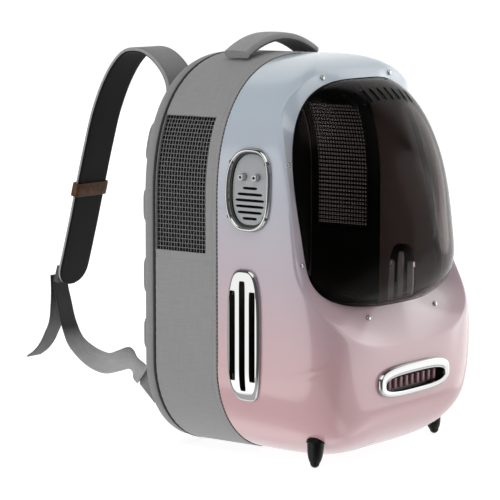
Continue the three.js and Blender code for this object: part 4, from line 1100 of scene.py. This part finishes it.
for word, side in SIDES.items():
    lines = []
    for row in range(NET_ROWS + 1):
        place = net_low - THREAD_TUCK + (net_high - net_low + 2 * THREAD_TUCK) * row / NET_ROWS
        lines.append([
            on_wall(side, place, y, NET_INSET - weave_height(step, row))
            for step, y in enumerate(net_depths)])
    for column in range(NET_COLUMNS + 1):
        y = NET_FRONT_Y - THREAD_TUCK + (CLOTH_BACK_Y - NET_FRONT_Y) * column / NET_COLUMNS
        lines.append([
            on_wall(side, place, y, NET_INSET + weave_height(step, column))
            for step, place in enumerate(net_places)])
    threads = merge([tube(np.array(line), NET_THREAD) for line in lines])
    add(f"net_{word}", threads, [net_grey], "net_grey", f"mesh_panel_{word}")
    backing = []
    for y in (NET_FRONT_Y - GAUZE_TUCK, 0.0, CLOTH_BACK_Y - NET_END):
        outer_line = on_wall(side, net_places, y, GAUZE_INSET)
        inner_line = on_wall(side, net_places[::-1], y, GAUZE_INSET + GAUZE_THICK)
        backing.append([*outer_line, *inner_line])
    behind = add(f"net_backing_{word}", loft(backing), [gauze], "net_grey", sharp=40)
print("net windows: 2, of", NET_COLUMNS, "by", NET_ROWS, "holes")

# %% [markdown]
# ## Piping and back panel
# A black corded piping closes the wall behind, and a flat board covered in the same grey cloth makes the
# back. The board's edge is soft, so its section is a rounded one. Inside, a black tape covers each seam.

# %% Piping and back panel
PIPING_Y, PIPING_INSET, PIPING_RADIUS, PIPING_SIDES = 43.8, 2.0, 2.15, 12
PANEL_SECTION = [
    (9, 46), (3.0, 46.1), (2.0, 46.8), (1.5, 48.5), (1.3, 52), (1.5, 55.5), (2.2, 57.3), (3.6, 58), (9, 58)]
TAPES = [(-50, -37, 3.6), (36, 45.9, 6.2)]
TAPE_THICK = 0.6
BACK_COLUMNS, FRONT_FACE = 130, -2
back_places = np.linspace(0, HALF_LENGTH, BACK_COLUMNS)
piping_black = surface("piping_black", Roughness=0.6, Base_Color=grey(0.008))
tree = piping_black.node_tree
feed(piping_black, Normal=bump(tree, streaks(tree, 0.8, 3), 0.15))
core = body_ring(back_places, PIPING_INSET, PIPING_Y)
out, back = outward(core), np.array([0, 1.0, 0])
cord_rings = [core + PIPING_RADIUS * (math.cos(t) * out + math.sin(t) * back) for t in turns(PIPING_SIDES)]
add("back_cord", loft(cord_rings, wrap=True), [piping_black], "piping_black", "back_piping")

panel_cloth = cloth("panel_grey_cloth", 0.215, 0.30, 1.3, 0.2)
panel_shape = loft([body_ring(back_places, inset, y) for inset, y in PANEL_SECTION])
panel_skin = [0] * len(panel_shape[1])
panel_skin[FRONT_FACE] = 1
panel = add(
    "back_board", panel_shape, [panel_cloth, cabin_lining], "padding_grey", "back_panel", skin=panel_skin)

for number, (front, back, inset) in enumerate(TAPES, 1):
    deeper = inset + TAPE_THICK
    corners = ((inset, front), (inset, back), (deeper, back), (deeper, front))
    tape = loft([body_ring(back_places, less, y) for less, y in corners], wrap=True)
    add(f"seam_tape_{number}", tape, [cabin_lining], "piping_black", sharp=40)
print("back: piping, board and", len(TAPES), "seam tapes")

# %% [markdown]
# ## Back pads
# Foam pads in two columns cushion the wearer's back. Each is a crowned block whose sides pull in
# between its corners. They are pressed flat only where they lie on the board.

# %% Back pads
PAD_ROWS = [(316, 371, 5), (248, 299, 5), (168, 223, 5), (106, 154, 5), (34, 88, 20)]
PAD_GAP, PAD_BACK, PAD_POWER, PAD_POINTS, PAD_STEPS = 11, 58.4, 5, 96, 9
PINCH, PINCH_ACROSS, PINCH_UP = 0.02, 6, 4
PAD_SECTION = [(2, 0), (0.4, 0.6), (0, 2.2), (0.4, 3.9), (1.6, 5.4), (3.6, 6.5), (6.5, 7.1)]
TOP_SECTION = [(1.5, 0), (0.3, 0.5), (0, 1.8), (0.4, 3.4), (1.5, 4.8), (4, 5.6)]
TOP_MIDDLE, TOP_HALF, TOP_INSET, TOP_POINTS = 410, 21, 9, 120
PAD_CROWN, TOP_CROWN = 0.5, 0.4
pad_cloth = cloth("pad_grey_cloth", 0.20, 0.28, 1.3, 0.2)


def cushion(edge, section, crown):
    """A crowned pad; edge(less, size, lift) is its outline drawn in by less mm and scaled by size."""
    rings = [edge(less, 1.0, lift) for less, lift in section]
    less, lift = section[-1]
    for size in np.linspace(FACE_START, TIP, PAD_STEPS):
        rings.append(edge(less, size, lift + crown * (1 - size ** 2)))
    return loft(rings)


def pad_edge(side, low, high, margin):
    """The outline of one pad between two heights, margin mm inside the body's side."""
    middle, half = (low + high) / 2, (high - low) / 2
    a, b = oval(1, 1, PAD_POWER, PAD_POINTS)
    pinch = 1 - PINCH * (1 - np.abs(a) ** PINCH_ACROSS) * np.abs(b) ** PINCH_UP

    def edge(less, size, lift):
        outer = half_width(middle + b * (half - less)) - margin - less
        inner = PAD_GAP + less
        x = (outer + inner) / 2 + a * (outer - inner) / 2 * size
        return columns(side * x, PAD_BACK + lift, middle + b * pinch * (half - less) * size)

    return edge


def top_edge(less, size, lift):
    """The outline of the pad across the top."""
    a, b = oval(1, 1, PAD_POWER, TOP_POINTS)
    up = b * (TOP_HALF - less)
    x = a * (half_width(TOP_MIDDLE + up, TOP_INSET) - less) * size
    return columns(x, PAD_BACK + lift, TOP_MIDDLE + up * size)


pads = []
for word, side in SIDES.items():
    for number, row in enumerate(PAD_ROWS, 1):
        shape = cushion(pad_edge(side, *row), PAD_SECTION, PAD_CROWN)
        pads.append((f"foam_{word}_{number}", shape, f"back_pad_{word}_{number}"))
pads.append(("foam_top", cushion(top_edge, TOP_SECTION, TOP_CROWN), "top_pad"))
for name, shape, solid in pads:
    pad = add(name, shape, [pad_cloth], "padding_grey", solid)
print("pads:", len(pads))

# %% [markdown]
# ## Straps and handle
# A strap is a flat section carried along a smooth curve. The curve passes through a few points of the
# strap's fall. The section has rounded edges, so light rolls over it. Grey cloth covers its top. The
# underside is painted near black as shade, which on a shoulder strap darkens its own dark mesh further;
# a lighter cloth on a shoulder strap's upper edges is a painted highlight.

# %% Strap helpers
# Edge faces lower than this take the underside's finish and the rest the edge finish; this split carries the
# painted highlight on upper edges and the painted shade below.
LIGHT_EDGE = 2.5
STEPS_PER_POINT, EDGE_STEPS = 24, 9
ON_TOP, ON_EDGE, BELOW = 0, 1, 2


def smooth_path(points, count):
    """A smooth curve through the points, at even steps."""
    points = np.asarray(points, float)
    ends = np.vstack([2 * points[0] - points[1], points, 2 * points[-1] - points[-2]])
    t = np.linspace(0, 1, STEPS_PER_POINT, endpoint=False)[:, None]
    curve = []
    for k in range(len(points) - 1):
        p0, p1, p2, p3 = ends[k:k + 4]
        d0, d1, d2 = (np.sqrt(np.linalg.norm(q - p)) for p, q in ((p0, p1), (p1, p2), (p2, p3)))
        start = ((p1 - p0) / d0 - (p2 - p0) / (d0 + d1) + (p2 - p1) / d1) * d1
        stop = ((p2 - p1) / d1 - (p3 - p1) / (d1 + d2) + (p3 - p2) / d2) * d1
        curve.append((2 * t ** 3 - 3 * t ** 2 + 1) * p1 + (t ** 3 - 2 * t ** 2 + t) * start
                     + (3 * t ** 2 - 2 * t ** 3) * p2 + (t ** 3 - t ** 2) * stop)
    return evenly(np.vstack([*curve, points[-1:]]), count)


def tangents(path):
    return unit(np.gradient(path, axis=0))


def strap_section(thick, count=16, edge=0.5, crown=0.0):
    """(place across from -1 to 1, how far the edge bulges, height) of a flat section, top face first."""
    half = thick / 2
    turn = np.linspace(0, math.pi, EDGE_STEPS)[1:-1]
    places = [1 - 2 * k / count for k in range(count + 1)]
    top = [(place, 0.0, half * (1 + crown * (1 - place ** 2))) for place in places]
    left = [(-1, math.sin(t) * half * edge, half * math.cos(t)) for t in turn]
    under = [(-place, 0.0, -half) for place in places]
    right = [(1, math.sin(t) * half * edge, -half * math.cos(t)) for t in turn]
    return top + left + under + right


def band(path, across, normal, widths, section):
    """Carries a section along a path; widths gives the full width at each step."""
    place, bulge, height = (np.array(values)[:, None] for values in zip(*section))
    rings = [
        point + side * (place * width / 2 + place * bulge) + up * height
        for point, side, up, width in zip(path, across, normal, widths)
    ]
    return loft(rings)


def by_face(section, rows):
    """Finish numbers for a band: its top face, the upper part of its edges, and all below."""
    order = []
    for (_, bulge, height), (_, next_bulge, next_height) in zip(section, section[1:] + section[:1]):
        if height + next_height <= -LIGHT_EDGE:
            order.append(BELOW)
        else:
            order.append(ON_EDGE if bulge > 0 or next_bulge > 0 else ON_TOP)
    return order * rows + [ON_EDGE, ON_EDGE]


def level_across(path):
    return np.tile([1.0, 0, 0], (len(path), 1))


print("strap helpers ready")

# %% Carry handle
HANDLE_HALF, HANDLE_Y, HANDLE_WIDTH, HANDLE_THICK = 66, -4, 28, 9
HANDLE_LOW, HANDLE_TOP, HANDLE_STEPS = 438.6, 456.6, 61
handle_cloth = surface("ribbed_handle_tape")
tree = handle_cloth.node_tree
rib = ridges(tree, "X", 1.9)
tone = blend_values(tree, 0.5, streaks(tree, 1.0, 14, turned=True), rib)
feed(
    handle_cloth,
    Base_Color=ramp(tree, tone, [(0.2, grey(0.26)), (0.75, grey(0.40))]),
    Roughness=spread(tree, tone, 0.75, 0.92),
    Normal=bump(tree, rib, 0.25),
)
handle_edge = cloth("handle_edge_cloth", 0.24, 0.34, 1.0, 0.15)
# Painted shade: the handle's underside is near black.
handle_under = cloth("handle_underside_painted_shade", 0.05, 0.08, 1.0, 0.15)
t = np.linspace(-1, 1, HANDLE_STEPS)
path = columns(t * HANDLE_HALF, HANDLE_Y, HANDLE_LOW + (HANDLE_TOP - HANDLE_LOW) * (1 - t ** 2))
across = np.tile([0, 1.0, 0], (len(path), 1))
section = strap_section(HANDLE_THICK, edge=0.6, crown=0.15)
shape = band(path, across, np.cross(tangents(path), across), np.full(len(path), HANDLE_WIDTH), section)
finishes = [handle_cloth, handle_edge, handle_under]
skin = by_face(section, len(path) - 1)
handle = add("handle_loop", shape, finishes, "strap_grey", "carry_handle", skin=skin, sharp=40)
print("handle:", len(handle.data.polygons), "faces")

# %% Shoulder straps
STRAP_X, STRAP_WIDTH, STRAP_THICK, STRAP_CROWN = 73, 50, 5, 0.1
STRAP_END, STRAP_END_POWER, STRAP_EDGE, STRAP_STEPS = 12, 2.4, 4, 300
STRAP_FALL = [
    (69.5, 390), (70, 403), (74.5, 414), (82, 424), (93, 433.5), (106, 440), (119, 441.5), (133, 439),
    (147, 428), (163, 406), (180, 370), (193, 328), (205, 284), (216, 242), (228.5, 197), (238.5, 163)]
ROOT_Y, ROOT_Z = STRAP_FALL[0]
Fall = namedtuple("Fall", "side spread rise swing")
FALLS = {"left": Fall(LEFT, 1, 1, 1), "right": Fall(RIGHT, 0.8, 0.68, 0.2)}


def fall_point(fall, x, y, z):
    """A point of the strap or its webbing, drawn in and lowered for the far side."""
    height = max(0, z - ROOT_Z) * fall.rise + min(ROOT_Z, z)
    return (fall.side * x, ROOT_Y + (y - ROOT_Y) * fall.spread, height)


strap_cloth = cloth("strap_grey_cloth", 0.19, 0.27, 1.1, 0.2)
# Painted highlight: the upper edges get a lighter cloth than the top, for the light they catch.
strap_edge_painted_highlight = cloth("strap_edge_painted_highlight", 0.28, 0.36, 0.8, 0.1)
# The underside is dark spacer mesh, made near black to paint in the shade under the strap too.
strap_mesh = surface("spacer_mesh_painted_shade", Roughness=0.75, Specular_IOR_Level=0.3)
tree = strap_mesh.node_tree
cells = pebbles(tree, 1.4)
feed(
    strap_mesh,
    Base_Color=ramp(tree, cells, [(0.1, grey(0.003)), (0.6, grey(0.006))]),
    Normal=bump(tree, cells, 0.12),
)
straps = {}
section = strap_section(STRAP_THICK, crown=STRAP_CROWN, edge=0.6)
for word, fall in FALLS.items():
    path = smooth_path([fall_point(fall, STRAP_X, y, z) for y, z in STRAP_FALL], STRAP_STEPS)
    across = level_across(path)
    normal = np.cross(across, tangents(path))
    left_over = distances(path)[-1] * np.linspace(1, 0, len(path))
    tuck_in = np.clip(1 - left_over / (STRAP_WIDTH / 2), 0, 1)
    rounded = (1 - tuck_in ** STRAP_END_POWER) ** (1 / STRAP_END_POWER)
    widths = np.maximum(STRAP_WIDTH * rounded, STRAP_END) - STRAP_EDGE
    shape = band(path, across, normal, widths, section)
    finishes = [strap_cloth, strap_edge_painted_highlight, strap_mesh]
    skin = by_face(section, len(path) - 1)
    strap = add(f"strap_{word}", shape, finishes, "strap_grey", f"shoulder_strap_{word}", skin=skin)
    straps[word] = (path, across, normal, widths)
print("shoulder straps: 2")

# %% [markdown]
# ## Keepers and strap stitching
# A leather loop holds the spare webbing on each strap. Leather has a fine pebbled grain. The strap's
# edges are sewn.

# %% Keepers and strap stitching
KEEPER_SHARE, KEEPER_HIGH, KEEPER_EASE, KEEPER_WALL, KEEPER_POWER = 0.7, 16, 0.6, 1.6, 8
KEEPER_ROWS = [
    (-1, 0.3), (-1, 0.8), (-0.93, 1), (0, 1.05), (0.93, 1), (1, 0.8), (1, 0.3), (0.93, 0), (-0.93, 0)]
STITCH_INSET, STITCH_LIFT, KEEPER_POINTS = 2.2, 0.2, 96
leather = surface("brown_leather", Specular_IOR_Level=0.2)
tree = leather.node_tree
feed(
    leather,
    Base_Color=ramp(tree, noise(tree, 6, 4), [(0.3, (0.060, 0.025, 0.010)), (0.75, (0.14, 0.062, 0.025))]),
    Roughness=spread(tree, noise(tree, 5), 0.35, 0.55),
    Normal=bump(tree, pebbles(tree, 1.1), 0.12),
)
for word, (path, across, normal, widths) in straps.items():
    middle = round(KEEPER_SHARE * (len(path) - 1))
    along = tangents(path)[middle]
    half_thick = STRAP_THICK / 2 * (1 + STRAP_CROWN)
    rings = []
    for place, out_share in KEEPER_ROWS:
        grow = KEEPER_EASE + KEEPER_WALL * out_share
        a, b = oval(STRAP_WIDTH / 2 + grow, half_thick + grow, KEEPER_POWER, KEEPER_POINTS)
        centre = path[middle] + along * place * KEEPER_HIGH / 2
        rings.append(centre + a[:, None] * across[middle] + b[:, None] * normal[middle])
    add(f"keeper_{word}", loft(rings, wrap=True), [leather], "keeper_leather", f"strap_keeper_{word}")
    rows = []
    for side in (LEFT, RIGHT):
        line = path + across * (side * (widths / 2 - STITCH_INSET))[:, None]
        line = line + normal * (STRAP_THICK / 2 + STITCH_LIFT)
        rows.append(stitch_row(line, normal, length=2.2, gap=1.4, radius=0.3))
    add(f"strap_stitches_{word}", merge(rows), [thread], "strap_grey")
print("keepers: 2, with strap stitching")

# %% [markdown]
# ## Webbing and buckles
# Below each pad a ladder buckle takes a narrow webbing that runs down to a sewn tab at the foot of the
# back. Its spare end hangs free. Webbing is ribbed across, with a firm rounded edge.

# %% Webbing and buckles
WEB_WIDTH, WEB_THICK, WEB_STEPS, TAIL_STEPS = 23.4, 1.8, 120, 60
WEB_PATH = [
    (73, 253.8, 172), (73, 252.8, 158), (74, 247, 140), (76, 239, 118), (80, 225, 98), (86, 204.5, 87),
    (94, 179.6, 80.5), (103, 155.8, 80), (113, 130, 87), (123, 107, 94), (134.5, 91, 94), (141.6, 80, 88),
    (142, 70.5, 80.5)]
TAIL_PATH = [
    (257.8, 172), (257.2, 157), (258, 138), (261, 116), (268.5, 101), (275, 90), (285, 79), (297, 71)]
TAIL_TOP = TAIL_PATH[0][0]
TWIST_FROM, TWIST_SPAN = 0.05, 0.9
BUCKLE_ROUND = 0.8


def webbing(name, dark, light, shade_from, shade_to):
    """Ribbed webbing darkened upwards between two heights in metres: painted shade of the strap above it."""
    material = surface(name, Roughness=0.75, Sheen_Weight=0.1)
    tree = material.node_tree
    ribs = ridges(tree, "Y", 1.4)
    tone = blend_values(tree, 0.5, streaks(tree, 1.2, 20, turned=True), ribs)
    # Painted shade: the colour falls towards near black from shade_from up to shade_to.
    shade = spread(tree, own_height(tree), 1.0, 0.02, shade_from, shade_to)
    stops = [(0.0, grey(0.01)), (0.3, grey(dark)), (0.75, grey(light))]
    feed(
        material,
        Base_Color=ramp(tree, math_node(tree, "MULTIPLY", tone, shade), stops),
        Normal=bump(tree, blend_values(tree, 0.4, ribs, weave(tree, 1.0)), 0.25),
    )
    return material


def web_band(path, across):
    """A webbing along a path, with rounded edges."""
    section = strap_section(WEB_THICK, count=8, edge=0.9)
    return band(path, across, np.cross(across, tangents(path)), np.full(len(path), WEB_WIDTH), section)


web_cloth = webbing("ribbed_webbing", 0.29, 0.43, 0.082, 0.112)
# Painted shade: the spare end is the same webbing in darker greys, and is darkened upwards too.
tail_cloth = webbing("spare_webbing_painted_shade", 0.09, 0.14, 0.09, 0.16)
buckle_black = grained("buckle_black_moulding", grey(0.012), 0.35, 0.8, 0.03)
for word, fall in FALLS.items():
    path = smooth_path([fall_point(fall, *point) for point in WEB_PATH], WEB_STEPS)
    share = np.clip((np.linspace(0, 1, len(path)) - TWIST_FROM) / TWIST_SPAN, 0, 1)
    share = (share * share * (3 - 2 * share))[:, None]
    across = np.array([-fall.side, 0, 0]) * (1 - share) + np.array([0, 0, 1.0]) * share
    along = tangents(path)
    across = unit(across - along * (across * along).sum(axis=1)[:, None])
    shape = web_band(path, across)
    add(f"webbing_{word}", shape, [web_cloth], "webbing_grey", f"lower_webbing_{word}", sharp=60)
    hang = [(TAIL_TOP + (y - TAIL_TOP) * fall.swing, z) for y, z in TAIL_PATH]
    path = smooth_path([fall_point(fall, STRAP_X, y, z) for y, z in hang], TAIL_STEPS)
    shape = web_band(path, level_across(path))
    add(f"spare_webbing_{word}", shape, [tail_cloth], "webbing_grey", f"webbing_tail_{word}", sharp=60)
    buckle = dress(f"strap_buckle_{word}", buckle_black)
    rounding = buckle.modifiers.new("rounding", "BEVEL")
    rounding.width = BUCKLE_ROUND * MM
    rounding.segments = 3
print("webbing: 2 runs and 2 spare ends, 2 buckles")

# %% [markdown]
# ## Anchor tabs
# The webbing ends in a tapered tab of doubled cloth sewn into the lower edge of the back. It is a soft
# plate, so its edge is rounded, and it has a stitched border.

# %% Anchor tabs
TAB_CORNERS = [(58.4, 50), (79.7, 69), (79.7, 80), (58.4, 97)]
TAB_X, TAB_HALF_THICK, TAB_POINTS, TAB_SEAM = 136, 1.0, 80, 0.8
TAB_ROWS = [(0.3, -1), (0.93, -1), (0.985, -0.7), (1, 0), (0.985, 0.7), (0.93, 1), (0.3, 1)]
tab_cloth = cloth("tab_grey_cloth", 0.20, 0.27, 1.1, 0.2)
tab_outline = evenly(TAB_CORNERS + TAB_CORNERS[:1], TAB_POINTS + 1)[:-1]
tab_middle = tab_outline.mean(axis=0)


def tab_ring(side, size, out):
    """The tab's outline scaled by size; out runs from -1 to 1 through its thickness."""
    flat = tab_middle + (tab_outline - tab_middle) * size
    return columns(side * (TAB_X + out * TAB_HALF_THICK), flat[:, 0], flat[:, 1])


for word, side in SIDES.items():
    shape = loft([tab_ring(side, *row) for row in TAB_ROWS])
    add(f"tab_{word}", shape, [tab_cloth], "webbing_grey", f"anchor_tab_{word}", sharp=60)
    rows = [
        stitch_row(tab_ring(side, TAB_SEAM, side * out), np.tile([out, 0.0, 0], (TAB_POINTS, 1)), closed=True)
        for out in (LEFT, RIGHT)
    ]
    add(f"tab_stitches_{word}", merge(rows), [thread], "webbing_grey")
print("tabs: 2")

# %% [markdown]
# ## Floor and studio light
# The carrier stands on a plain floor that glows a little, so it stays white. Diffuse and mirrored light
# doesn't see the floor, because it would light the carrier flatly from below. Bright metal and gloss
# show what is around them, so the studio has soft boxes and is dark between them, above all where the
# camera stands. Each box is a round patch of the sky with a soft edge: it is full up to one angle from
# its middle and fades out at another. The widest box is the white background.

# %% Floor and studio light
FLOOR_REACH, FLOOR_DROP = 4.0, 0.3 * MM
FLOOR_CORNERS = [(-1, -1, 0), (1, -1, 0), (1, 1, 0), (-1, 1, 0)]
floor_mesh = bpy.data.meshes.new("studio_floor")
floor_mesh.from_pydata([Vector(corner) * FLOOR_REACH for corner in FLOOR_CORNERS], [], [(0, 1, 2, 3)])
floor_paint = surface(
    "pale_floor", Base_Color=grey(0.5), Specular_IOR_Level=0.0,
    Emission_Color=grey(1), Emission_Strength=0.8)
tree = floor_paint.node_tree
feed(floor_paint, Roughness=spread(tree, noise(tree, 200), 0.85, 0.95))
floor_mesh.materials.append(floor_paint)
floor = bpy.data.objects.new("studio_floor", floor_mesh)
floor.location.z = -FLOOR_DROP
floor.visible_diffuse = floor.visible_glossy = False
scene.collection.objects.link(floor)

SoftBox = namedtuple("SoftBox", "direction full fade strength")
SOFT_BOXES = [
    SoftBox(-to_camera, 62, 74, 0.94),
    SoftBox(Vector((-0.9, 0.42, -0.1)), 28, 33, 1.75),
    SoftBox(Vector((0.72, -0.68, 0.1)), 20, 24, 1.6),
    SoftBox(Vector((0.97, -0.2, 0.1)), 20, 24, 1.1),
    SoftBox(Vector((-0.4, -0.3, 1.0)), 24, 32, 1.9),
    SoftBox(Vector((-0.45, 0.05, -0.9)), 40, 60, 0.65),
    SoftBox(Vector((0.35, -0.65, -0.65)), 22, 40, 1.1),
    SoftBox(Vector((0.3, -0.75, 0.65)), 20, 28, 0.25),
]
STUDIO_DARK = 0.13
world = bpy.data.worlds.new("studio")
world.use_nodes = True
scene.world = world
tree = world.node_tree
looking = node(tree, "TexCoord").outputs["Generated"]
brightness = STUDIO_DARK
for box in SOFT_BOXES:
    towards_box = {0: looking, 1: box.direction.normalized()}
    facing = node(tree, "VectorMath", towards_box, operation="DOT_PRODUCT").outputs["Value"]
    fade, full = (math.cos(math.radians(angle)) for angle in (box.fade, box.full))
    patch = spread(tree, facing, 0.0, box.strength, fade, full, interpolation_type="SMOOTHSTEP")
    brightness = math_node(tree, "ADD", patch, brightness)
background = tree.nodes["Background"]
tree.links.new(brightness, background.inputs["Strength"])
background.inputs["Color"].default_value = (1, 1, 1, 1)
print("studio ready:", len(SOFT_BOXES), "soft boxes")
